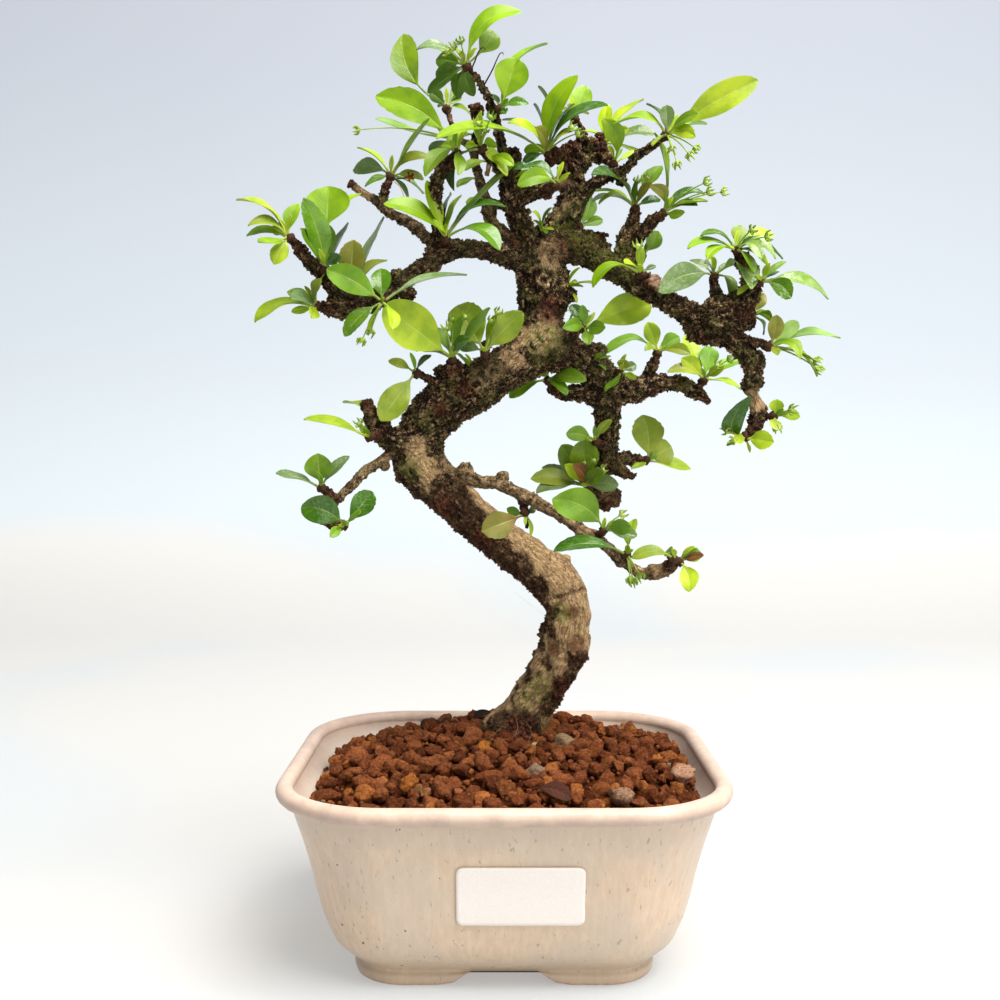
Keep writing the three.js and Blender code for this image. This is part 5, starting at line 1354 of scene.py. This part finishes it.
def star(shells, tip, along, colour, draw):
    """Five narrow sepals that open round a direction."""
    side, other = square_to(along)
    spread = draw.uniform(0.35, 0.9)
    for k in range(5):
        angle = math.tau * (k + draw.uniform(-0.15, 0.15)) / 5
        outward = turned(side, other, angle)
        end = tip + along * draw.uniform(2.2, 3.2) * MM + outward * spread * 2.4 * MM
        bend = tip + along * 1.2 * MM + outward * 1.5 * MM
        line = [tip, (tip + bend) / 2, bend, (bend + end) / 2, end]
        points, faces = tube(line, [w * MM for w in (0.3, 0.42, 0.42, 0.3, 0.1)], 4)
        shells.add(points, faces, colour)


def leaf_look(kind, draw):
    """A leaf's own tint, and its nature: age, share of painted sheen and spots."""
    code, *nature = KINDS[kind]
    base = linear(code)
    light = draw.uniform(0.88, 1.13)
    warm = draw.uniform(-0.06, 0.06)
    return (base[0] * light * (1 + warm), base[1] * light, base[2] * light * (1 - warm)), tuple(nature)


def knotted(point):
    """How far the hub's surface stands out there, as a share of its radius."""
    return 0.5 * noise.noise(point / MM * 0.9) + 0.3 * noise.noise(point / MM * 2)


def make_whorl(branch, material):
    """The leaves round the hub on a twig's end, one to three young ones between them, and flower buds."""
    name = branch["name"]
    draw = random.Random(name)
    shells = Shells()
    along, centre = twig_end(branch)
    right, depth, up = branch["route"][-1][:3]
    for dx, dy, dz, width, arch, kind, *stalk in branch["leaves"]:
        tip = place(right + dx, depth + dy, up + dz)
        outward = (tip - centre).normalized()
        root = centre + outward * HUB_RADIUS * 0.35 * MM
        blade(shells, root, tip, width, arch, along, leaf_look(kind, draw), draw, *stalk)
    points, faces = ball(centre - along * 0.7 * MM, HUB_RADIUS * MM, 9, 14)
    points = [p + (p - centre) * knotted(p) for p in points]
    shells.add(points, faces, linear("54331d"))
    for _ in range(draw.choice((1, 2, 3))):
        sprout = along + Vector((draw.uniform(-1, 1), draw.uniform(-0.9, 0.6), draw.uniform(0, 1))) * 0.9
        tip = centre + sprout.normalized() * draw.uniform(4, 8) * MM
        look = leaf_look(draw.choice(("y", "l", "m")), draw)
        width = draw.uniform(1.2, 2.0)
        blade(shells, centre, tip, width, draw.uniform(0, 0.2), along, look, draw, full=0.24)
    for dx, dy, dz in BUDS.get(name, ()):
        flower_bud(shells, centre, place(right + dx, depth + dy, up + dz), draw)
    stand_for(shells.build_leaves(name + "_foliage"), "leaf", material, name + "_leaves")


# Small tufts of young leaves that break from old bark: [right, depth, up] of root and middle tip
TUFTS = [
    ((13, 6, 249.5), (11.5, 0, 254)), ((22, 10, 229.5), (26.5, 6, 231)), ((24, 10, 220), (27.5, 7, 220.5)),
    ((-12, 9, 200), (-13, 5, 203.5)), ((31, 22, 203), (34, 16, 206)),
]
# Bare dead twigs and threads: radius, colour and points [right, depth, up]
DEAD_TWIGS = [
    (0.32, "2e2722", [(-7.5, 0, 298.5), (-5.9, -1, 301.1), (-3.9, -1, 304.8), (-2.5, -2, 308),
                      (-1.4, -2, 310.1), (-0.5, -2, 310.5), (-0.2, -2, 309.7)]),
    (0.3, "4a3a30", [(-11, -4, 305.5), (-9.9, -5, 308), (-9.2, -5, 310.1), (-8.1, -5, 311.7),
                     (-7.1, -5, 312.2), (-6.4, -5, 311.4)]),
    (0.6, "8d6a5c", [(31.5, 40, 153.5), (35, 38, 156), (39.5, 37, 158.8)]),
    (0.28, "2a211b", [(8, -10, 152.5), (8.4, -11, 150), (8.2, -11, 147.8)]),
    (0.9, "2f241d", [(8.2, -11, 148.2), (8.5, -11, 147.2), (8.1, -11, 146), (7.9, -11, 145)]),
    (0.2, "c9b48c", [(-38, 16, 266), (-36, 12, 264), (-35, 11, 260.5), (-37, 12, 258)]),
    (0.035, "d8cdb4", [(3.5, 5, 122.5), (12, 3, 116), (22, 3, 109)]),
]
DRIED_STALK = (-38, 18, 267)
DRIED_FLOWER = (-33, 16, 267.5)
# Single leaves that break from the crown's twigs: [right, depth, up] of root and tip, width, arch and kind
SINGLE_LEAVES = [
    ((-3.5, -2, 278.5), (4.5, -6, 273.5), 4, 0.2, "v"), ((-6, 0, 276), (0.5, -4, 269), 2.8, 0.15, "y"),
    ((-9, 8, 274), (-15.5, 3, 270.5), 3.6, 0.2, "v"), ((-2, 4, 282), (-9.5, 2, 286.5), 2.6, 0.2, "y"),
    ((-12, 12, 268), (-18, 8, 264.5), 3, 0.1, "n"), ((0, 4, 270), (9.5, 2, 271.5), 3.2, 0.2, "d"),
    ((4, 8, 266), (15, 4, 268.5), 3.6, 0.25, "n"), ((-8, 6, 262), (-13, 0, 258.5), 3, 0.2, "y"),
    ((-15, 12, 283), (-22.5, 8, 280), 4, 0.2, "v"), ((-5, 2, 288), (1, -2, 292.5), 2.6, 0.15, "m"),
    ((16, 14, 258), (10.5, 10, 264.5), 3.4, 0.15, "m"), ((21, 14, 262), (28.5, 10, 263.5), 4.2, 0.2, "n"),
]


def on_wood(spot, limbs):
    """The place inside the wood that lies nearest."""
    centres = (centre for limb in limbs for centre in limb.centres)
    return min(centres, key=lambda centre: (centre - spot).length)


def make_growths(material):
    """Single leaves, young tufts, bare twigs and one dried flower, on the bark."""
    draw = random.Random(3)
    shells = Shells()
    limbs = [Limb(branch) for branch in BRANCHES + SIDE_TWIGS]
    for spot, tip, width, arch, kind in SINGLE_LEAVES:
        root = on_wood(place(*spot), limbs)
        tip = place(*tip) + (root - place(*spot)) * 0.5
        blade(shells, root, tip, width, arch, (tip - root).normalized(), leaf_look(kind, draw), draw)
    for root, tip in TUFTS:
        root = place(*root)
        along = place(*tip) - root
        for _ in range(7):
            lean = Vector((draw.gauss(0, 0.5), draw.gauss(0, 0.5), draw.gauss(0, 0.5))) * along.length
            reach = root + (along + lean) * draw.uniform(0.6, 1.1)
            look = leaf_look(draw.choice("yym"), draw)
            width = draw.uniform(0.8, 1.3)
            blade(shells, root, reach, width, 0.1, along.normalized(), look, draw, full=0.25)
    for radius, code, line in DEAD_TWIGS:
        path = [Vector(row[:3]) for row in route_samples([(*p, radius) for p in line])]
        widths = [radius * MM * (1 - 0.5 * k / len(path)) for k in range(len(path))]
        points, faces = tube(path, widths, 6)
        shells.add(points, faces, linear(code))
    start = place(*DRIED_STALK)
    spot = place(*DRIED_FLOWER)
    points, faces = tube([start, (start + spot) / 2, spot], [0.3 * MM] * 3)
    shells.add(points, faces, linear("6b5030"))
    for _ in range(2):
        star(shells, spot, Vector((0.3, -1, 0.1)).normalized(), linear("9c4a24"), draw)
    stand_for(shells.build_leaves("bark_growths"), "leaf", material)


# Pot

SIDE_STEPS = 12
CORNER_STEPS = 16
OUTSIDE = [
    (49.2, 0), (50, 3), (49.2, 5), (51.2, 7), (54, 9.5), (56.6, 12.5), (59.6, 19.5), (61.8, 27),
    (63.8, 36), (66.2, 45), (68.4, 52), (70.4, 58.5),
]
INSIDE = [(65.5, 57), (61.5, 45), (57, 30), (53, 18), (48, 12), (42, FLOOR_TOP)]


def rounded_ring(half_width, height, grow=0.0):
    """Points round a rounded square, with the same number on every side and corner."""
    half_depth = half_width - DEPTH_DIFFERENCE
    corner = FOOT_CORNER + (RIM_CORNER - FOOT_CORNER) * (half_width - 50) / (RIM_HALF - 50)
    radius = max(corner, 4) + grow
    reach_x = half_width + grow - radius
    reach_y = half_depth + grow - radius
    points = []
    for quarter in range(4):
        middle = quarter * math.pi / 2
        sign_x = 1 if quarter in (0, 3) else -1
        sign_y = 1 if quarter < 2 else -1
        for step in range(CORNER_STEPS):
            angle = middle + step / CORNER_STEPS * math.pi / 2
            points.append((sign_x * reach_x + radius * math.cos(angle),
                           sign_y * reach_y + radius * math.sin(angle)))
        for step in range(SIDE_STEPS):
            share = step / SIDE_STEPS
            angle = middle + math.pi / 2
            edge = (radius * math.cos(angle), radius * math.sin(angle))
            if quarter in (0, 2):
                x = sign_x * reach_x * (1 - 2 * share)
                points.append((x + edge[0], sign_y * reach_y + edge[1]))
            else:
                y = sign_y * reach_y * (1 - 2 * share)
                points.append((sign_x * reach_x + edge[0], y + edge[1]))
    return [Vector((x, y, height)) for x, y in points]


def smooth_profile(points, steps):
    return curve_rows(points, lambda a, b: steps)


def arch_height(point):
    """How far the foot is cut away there: full between the feet, nothing at the corners."""
    reach = min(abs(point.x), abs(point.y))
    return FOOT_HEIGHT * (1 - ease(reach, ARCH_HALF - FOOT_HEIGHT, ARCH_HALF + 1))


def make_pot():
    rings = []
    zones = []

    def add(ring, lip=0.0, inner=0.0, raw=0.0):
        rings.append(ring)
        zones.extend([(lip, inner, raw)] * len(ring))

    def standing(half, height):
        """A ring of the foot, lifted over the arches."""
        ring = rounded_ring(half, height)
        for point in ring:
            lift = arch_height(point)
            point.z = lift + height * (1 - lift / FOOT_HEIGHT) if height < FOOT_HEIGHT else height
        return ring

    for half, height in ((47.6, 0.25), (48.4, 0)):
        add(standing(half, height), raw=1)
    for half, height in smooth_profile(OUTSIDE, 5):
        ring = standing(half, max(height, 0.3)) if height < FOOT_HEIGHT else rounded_ring(half, height)
        add(ring, lip=ease(height, 57, 60) * 0.7, raw=1 - ease(height, 0.5, 1.1))
    centre = RIM_HALF - LIP_RADIUS
    for step in range(25):
        angle = math.radians(-50 + 250 * step / 24)
        ring = rounded_ring(centre + LIP_RADIUS * math.cos(angle), RIM_HEIGHT + LIP_RADIUS * math.sin(angle))
        add(ring, lip=1)
    for half, height in smooth_profile(INSIDE, 4):
        add(rounded_ring(half, height), lip=ease(height, 52, 58) * 0.5, inner=1)
    circle = [Vector((p.x, p.y, 0)).normalized() * DRAIN_RADIUS for p in rings[-1]]
    add([Vector((p.x, p.y, FLOOR_TOP)) for p in circle], inner=1)
    add([Vector((p.x, p.y, FOOT_HEIGHT)) for p in circle], raw=1)
    add(rounded_ring(FOOT_INNER, FOOT_HEIGHT), raw=1)
    add([Vector((p.x, p.y, 0.25 + arch_height(p) * (1 - 0.25 / FOOT_HEIGHT)))
         for p in rounded_ring(FOOT_INNER + 0.8, 0)], raw=1)
    count = len(rings[0])
    faces = []
    for row in range(len(rings)):
        following = (row + 1) % len(rings)
        for k in range(count):
            after = (k + 1) % count
            faces.append((row * count + k, row * count + after,
                          following * count + after, following * count + k))
    points = [CENTRE + p * MM for ring in rings for p in ring]
    pot = new_object("glazed_pot", points, faces)
    set_vectors(pot, "zones", zones)
    smooth(pot)
    stand_for(pot, "glaze", glaze_material(), "pot")


LABEL_WIDTH = 40
LABEL_LOW = 25
LABEL_HIGH = 45
LABEL_RIGHT = 5
LABEL_CORNER = 2.2
LABEL_SKINS = (0.75, 0.25)   # distances of its outer and inner face from the wall


def wall_half_at(height):
    profile = smooth_profile(OUTSIDE, 8)
    for (half_a, low), (half_b, high) in zip(profile, profile[1:]):
        if low <= height <= high:
            share = (height - low) / (high - low)
            return half_a * (1 - share) + half_b * share
    return profile[-1][0]


def make_label():
    """A blank paper rectangle with round corners on the front wall."""
    columns = 40
    rows = 20
    points = []
    for skin in LABEL_SKINS:
        for row in range(rows + 1):
            v = row / rows * 2 - 1
            for column in range(columns + 1):
                u = column / columns * 2 - 1
                x = u * LABEL_WIDTH / 2
                z = v * (LABEL_HIGH - LABEL_LOW) / 2
                over_x = abs(x) - (LABEL_WIDTH / 2 - LABEL_CORNER)
                over_z = abs(z) - ((LABEL_HIGH - LABEL_LOW) / 2 - LABEL_CORNER)
                if over_x > 0 and over_z > 0:
                    long = math.hypot(over_x, over_z)
                    pull = max(over_x, over_z) / long
                    x -= math.copysign(over_x * (1 - pull), x)
                    z -= math.copysign(over_z * (1 - pull), z)
                height = (LABEL_LOW + LABEL_HIGH) / 2 + z
                half = wall_half_at(height) - DEPTH_DIFFERENCE
                points.append(CENTRE + Vector((LABEL_RIGHT + x, -(half + skin), height)) * MM)
    count = (columns + 1) * (rows + 1)
    faces = []
    for row in range(rows):
        for column in range(columns):
            a = row * (columns + 1) + column
            quad = (a, a + 1, a + columns + 2, a + columns + 1)
            faces.append(quad)
            faces.append(tuple(count + k for k in reversed(quad)))
    rim = (list(range(columns)) + [k * (columns + 1) + columns for k in range(rows)]
           + [rows * (columns + 1) + columns - k for k in range(columns)]
           + [(rows - k) * (columns + 1) for k in range(rows)])
    for a, b in zip(rim, rim[1:] + rim[:1]):
        faces.append((a, a + count, b + count, b))
    label = new_object("paper_label", points, faces)
    smooth(label)
    stand_for(label, "paper", paper_material(), "label")


# Soil

EDGE_DROP = 3.5          # how much lower it lies along the walls
BACK_DROP = 3.0          # how much lower the soil lies at the back left
TRUNK_FOOT = (2, 20, SOIL_CROWN)
GRAIN_TRIES = 9000
CRUMB_TRIES = 5000
GRAIN_SIZES = (3.2, 10.0, 5.4)    # smallest, largest and commonest
CRUMB_SIZES = (1.0, 3.0, 1.6)
STONE_SHARE = 0.012      # how many of the grains are pale stones
FRONT_UNTIL = 4          # grains nearer to the viewer than this depth are in the front half
BED_DEPTH = 2.6          # from the grains' height down to the bed between them
WALL_GAP = 0.4           # between the bed and the pot
GRAIN_TINTS = ("7a4326", "864b2b", "6c391f", "8e532e", "753f23", "9c5e2e", "5e2f18", "874e2d")
STONE_TINTS = ("a88c70", "9a8068", "b89e80")
# Single stones and bright grains: [right, depth, up], size and colour
STONES = [
    ((64, -20, 57.4), 8, "b98f74"), ((41.6, -46, 48.8), 8.5, "9c7c62"), ((21.5, 3, 67.2), 9, "98805f"),
    ((10.9, -1, 67), 5, "b9a070"), ((-7.4, -3, 66.5), 6.5, "b5702c"), ((-34, -38, 53.5), 6.5, "a8662e"),
]


def soil_height(x, y):
    trunk = place(*TRUNK_FOOT) - CENTRE
    away = math.hypot(x - trunk.x / MM, y - trunk.y / MM) / RIM_HALF
    wall = max(abs(x), abs(y) + DEPTH_DIFFERENCE, 0.72 * (abs(x) + abs(y) + DEPTH_DIFFERENCE))
    sunk = EDGE_DROP * ease(wall, RIM_HALF - 22, RIM_HALF - 6)
    sunk += BACK_DROP * ease(wall, RIM_HALF - 26, RIM_HALF - 8) * ease(y - x, 10, 70)
    return SOIL_EDGE + (SOIL_CROWN - SOIL_EDGE) * max(0, 1 - away * away) - sunk


def wall_half(height):
    """Half the width between the pot's walls at a height near the soil."""
    (high_half, high), (low_half, low) = INSIDE[:2]
    return high_half - (high - height) * (high_half - low_half) / (high - low)


def inside_pot(x, y, margin):
    half_width = min(RIM_HALF - 2 * LIP_RADIUS, wall_half(soil_height(x, y))) - margin
    half_depth = half_width - DEPTH_DIFFERENCE
    corner = RIM_CORNER - margin
    over_x = max(abs(x) - (half_width - corner), 0)
    over_y = max(abs(y) - (half_depth - corner), 0)
    return math.hypot(over_x, over_y) < corner


def grain_shapes(count, level, draw):
    """A few crumbled clay grains: points round the origin, with flats where they broke and a pitted skin."""
    ball_mesh = bmesh.new()
    bmesh.ops.create_icosphere(ball_mesh, subdivisions=level, radius=1)
    directions = [v.co.copy() for v in ball_mesh.verts]
    faces = [tuple(v.index for v in face.verts) for face in ball_mesh.faces]
    ball_mesh.free()
    shapes = []
    for _ in range(count):
        flats = [(Vector((draw.gauss(0, 1), draw.gauss(0, 1), draw.gauss(0, 1))).normalized(),
                  draw.uniform(0.55, 0.9)) for _ in range(9)]
        shift = Vector((draw.uniform(0, 50), draw.uniform(0, 50), draw.uniform(0, 50)))
        points = []
        for direction in directions:
            point = direction * (1 + 0.3 * noise.noise(direction * 1.3 + shift))
            for flat, reach in flats:
                over = point.dot(flat) - reach
                if over > 0:
                    point = point - flat * over * 0.9
            pits = 0.2 * noise.noise(point * 2.6 + shift) + 0.14 * noise.noise(point * 6 + shift)
            points.append(point * (1 + pits))
        shapes.append(np.array(points))
    return shapes, faces


def random_turn(draw):
    axis = Vector((draw.gauss(0, 1), draw.gauss(0, 1), draw.gauss(0, 1))).normalized()
    return np.array(Matrix.Rotation(draw.uniform(0, math.tau), 3, axis))


def make_grains(material):
    """Grains and crumbs, laid by chance where none lies yet."""
    draw = random.Random(11)
    grains = grain_shapes(14, 3, draw)
    crumbs = grain_shapes(8, 2, draw)
    heaps = {"clay_grains_front": Shells(), "clay_grains_back": Shells(), "clay_crumbs": Shells()}
    placed = []
    trunk = place(*TRUNK_FOOT) - CENTRE

    def half_at(y):
        return heaps["clay_grains_front" if y < FRONT_UNTIL else "clay_grains_back"]

    def lay(shells, kinds, x, y, z, size, tint):
        turn = random_turn(draw)
        stretch = np.array([draw.uniform(0.85, 1.25), draw.uniform(0.8, 1.1), draw.uniform(0.75, 1.0)])
        shape = draw.choice(kinds[0]) * stretch @ turn.T * size / 2
        points = [CENTRE + Vector((x + p[0], y + p[1], z + p[2])) * MM for p in shape]
        shells.add(points, kinds[1], tint)

    def tint_of():
        code = draw.choice(STONE_TINTS) if draw.random() < STONE_SHARE else draw.choice(GRAIN_TINTS)
        light = draw.uniform(0.7, 1.25)
        return tuple(min(v * light, 1) for v in linear(code))

    for spot, size, code in STONES:
        centre = (place(*spot) - CENTRE) / MM
        placed.append((centre.x, centre.y, size))
        lay(half_at(centre.y), grains, *centre, size, linear(code))
    for _ in range(GRAIN_TRIES):
        x = draw.uniform(-RIM_HALF, RIM_HALF)
        y = draw.uniform(-RIM_HALF, RIM_HALF)
        size = draw.triangular(*GRAIN_SIZES)
        if not inside_pot(x, y, size * 0.42):
            continue
        if math.hypot(x - trunk.x / MM, y - trunk.y / MM) < 11 + size * 0.3:
            continue
        if any((x - a) ** 2 + (y - b) ** 2 < (0.36 * (size + c)) ** 2 for a, b, c in placed):
            continue
        placed.append((x, y, size))
        z = soil_height(x, y) + draw.uniform(-1.8, 1.3) - 0.1 * size
        lay(half_at(y), grains, x, y, z, size, tint_of())
    for _ in range(CRUMB_TRIES):
        x = draw.uniform(-RIM_HALF, RIM_HALF)
        y = draw.uniform(-RIM_HALF, RIM_HALF)
        size = draw.triangular(*CRUMB_SIZES)
        if not inside_pot(x, y, size * 0.5):
            continue
        if any((x - a) ** 2 + (y - b) ** 2 < (0.4 * (size + c)) ** 2 for a, b, c in placed):
            continue
        placed.append((x, y, size))
        z = soil_height(x, y) + draw.uniform(-1.5, 0.3)
        lay(heaps["clay_crumbs"], crumbs, x, y, z, size, tint_of())
    for name, shells in heaps.items():
        stand_for(shells.build(name), "soil", material)


def make_bed(material):
    """The ground between the grains, which fills the pot down to its floor."""
    bed = Shells()
    count = 72
    top_half = wall_half(SOIL_EDGE - EDGE_DROP)
    top = rounded_ring(top_half - WALL_GAP, 0)
    rings = []
    for ring in range(16):
        share = ring / 15
        points = []
        for k in range(count):
            angle = math.tau * k / count
            spot = top[k * len(top) // count].copy()
            spot *= (wall_half(soil_height(spot.x, spot.y) - BED_DEPTH) - WALL_GAP) / top_half
            x = spot.x * (1 - share) if share < 1 else 0.01 * math.cos(angle)
            y = spot.y * (1 - share) if share < 1 else 0.01 * math.sin(angle)
            lump = 1.2 * noise.noise(Vector((x, y, 0)) * 0.3)
            points.append(Vector((x, y, soil_height(x, y) - BED_DEPTH + lump)))
        rings.append(points)
    below = []
    for half, height in reversed(INSIDE[1:]):
        edge = rounded_ring(half - WALL_GAP, height + WALL_GAP)
        below.append([edge[k * len(edge) // count] for k in range(count)])
    rows = below + rings
    points = [CENTRE + p * MM for row in rows for p in row]
    bed.add(points, loft_faces(len(rows), count), linear("4c2008"))
    stand_for(bed.build("clay_bed"), "soil", material, "soil")


# Dead leaves on the soil as [right, depth, up] of root and tip, width, arch and colour
DEAD_LEAVES = [
    ((-27.5, 33, 70), (-23.5, 32, 76.5), 1.3, 0.9, "2b231c"),
    ((-28, 33, 73), (-26, 32, 77.5), 0.7, -0.8, "2b231c"),
    ((-22, 34, 71), (-18.8, 33, 77.5), 1.8, 0.35, "352b22"),
    ((-11.5, 38, 75.5), (-4.8, 39, 79.5), 2.4, 0.3, "2f261e"),
    ((10, -46, 51.5), (24, -51, 48.3), 4.4, 0.25, "54291a"),
    ((-31.4, -48, 49.5), (-30, -49, 53.5), 2.4, 0.1, "c98a68"),
    ((-29.5, -48, 49.5), (-26.5, -49, 52), 2, 0.1, "d29a78"),
]
# Fine roots and threads at the trunk's foot as points [right, depth, up]
THREADS = [
    [(4, 8, 78), (5, 5, 74), (4, 2, 71), (6, -1, 69)], [(8, 8, 76), (10, 4, 72), (9, 1, 70)],
    [(-2, 9, 73), (-5, 6, 70.5), (-9, 4, 69.5)], [(13, 10, 75), (16, 6, 71), (20, 4, 69.5)],
    [(5, 7, 72), (2, 2, 70), (-3, -1, 69.5), (-7, 0, 69.5)],
]


def make_litter(material):
    """Curled dead leaves and pale threads that lie on the soil."""
    draw = random.Random(5)
    shells = Shells()
    for root, tip, width, arch, code in DEAD_LEAVES:
        along = (place(*tip) - place(*root)).normalized()
        blade(shells, place(*root), place(*tip), width, arch, along, (linear(code), (-1, 0, 0)), draw)
    for line in THREADS:
        path = [Vector(row[:3]) for row in route_samples([(*p, 0.1) for p in line])]
        points, faces = tube(path, [0.09 * MM] * len(path), 4)
        shells.add(points, faces, linear("a87a58"))
    stand_for(shells.build_leaves("dead_leaves"), "leaf", material)


def make_drain_mesh():
    """The strips over the hole in the pot's floor keep their solid form, in black plastic."""
    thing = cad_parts["drain_mesh"]
    thing.data.materials.clear()
    thing.data.materials.append(mesh_material())


# Stage

WARM_WHITE = (1.0, 0.97, 0.93)
SKY = (0.92, 0.96, 1.0)
SKY_STRENGTH = 0.36
LENS = 43.2
SENSOR = 36
EYE_RIGHT = -1.4
EYE_TILT = 2.7           # degrees that the camera looks down


def make_stage():
    """A pale floor that curves up into a pale backdrop, which glows a little so that it stays even."""
    paint = Paint("backdrop")
    height = paint.split(paint.place())[2]
    haze = paint.noise(paint.place(), 0.002, 2, 0.5)
    level = paint.plus(paint.between(height, 0, 750), paint.between(haze, 0.3, 0.7, -0.03, 0.03))
    colour = paint.ramp(level, (0.0, "fefcf8"), (0.035, "eff9fe"), (0.4, "e0e9f2"), (1.0, "cbd1dc"))
    glow = paint.between(height, -20, 120, 0.36, 0.5)
    lit = paint.mix(0.64, colour, linear("000000"))
    material = paint.finish(lit, Roughness=0.9, Emission_Color=colour, Emission_Strength=glow)
    bend = 0.25
    back = 0.9
    profile = [(-2.5, 0)]
    for degrees in range(0, 91, 6):
        angle = math.radians(degrees)
        profile.append((back - bend + bend * math.sin(angle), bend - bend * math.cos(angle)))
    profile.append((back, 2.2))
    points = []
    for x in (-3, 3):
        points += [(x, y, z + POT_LOW.z) for y, z in profile]
    count = len(profile)
    faces = [(k, k + count, k + count + 1, k + 1) for k in range(count - 1)]
    floor = new_object("floor", points, faces)
    floor.data.materials.append(material)
    smooth(floor)


def soft_light(name, spot, target, size, power):
    data = bpy.data.lights.new(name, "AREA")
    data.shape = "RECTANGLE"
    data.size = size
    data.size_y = size
    data.energy = power
    data.color = WARM_WHITE
    lamp = linked(name, data)
    lamp.location = spot
    lamp.rotation_euler = (Vector(target) - Vector(spot)).to_track_quat("-Z", "Y").to_euler()


def make_lights():
    world = bpy.data.worlds.new("studio")
    world.use_nodes = True
    background = world.node_tree.nodes["Background"]
    background.inputs["Color"].default_value = (*SKY, 1)
    background.inputs["Strength"].default_value = SKY_STRENGTH
    bpy.context.scene.world = world
    soft_light("key", (0.35, -0.35, 1.15), (0, 0, 0.15), 0.85, 34)
    soft_light("fill", (0.7, -0.9, 0.5), (0, 0, 0.12), 0.8, 5)


def make_camera():
    data = bpy.data.cameras.new("camera")
    data.sensor_width = SENSOR
    data.lens = LENS
    data.clip_start = 0.01
    camera = linked("camera", data)
    camera.location = CENTRE + Vector((EYE_RIGHT, -EYE_FORWARD, EYE_UP)) * MM
    camera.rotation_euler = (math.radians(90 - EYE_TILT), 0, 0)
    bpy.context.scene.camera = camera


bpy.context.scene.view_settings.view_transform = "Standard"
make_stage()
make_lights()
make_camera()
make_pot()
make_label()
make_drain_mesh()
clay = soil_material()
make_grains(clay)
make_bed(clay)
make_tree()
green = leaf_material()
make_litter(green)
make_growths(green)
for twig in BRANCHES:
    if "leaves" in twig:
        make_whorl(twig, green)
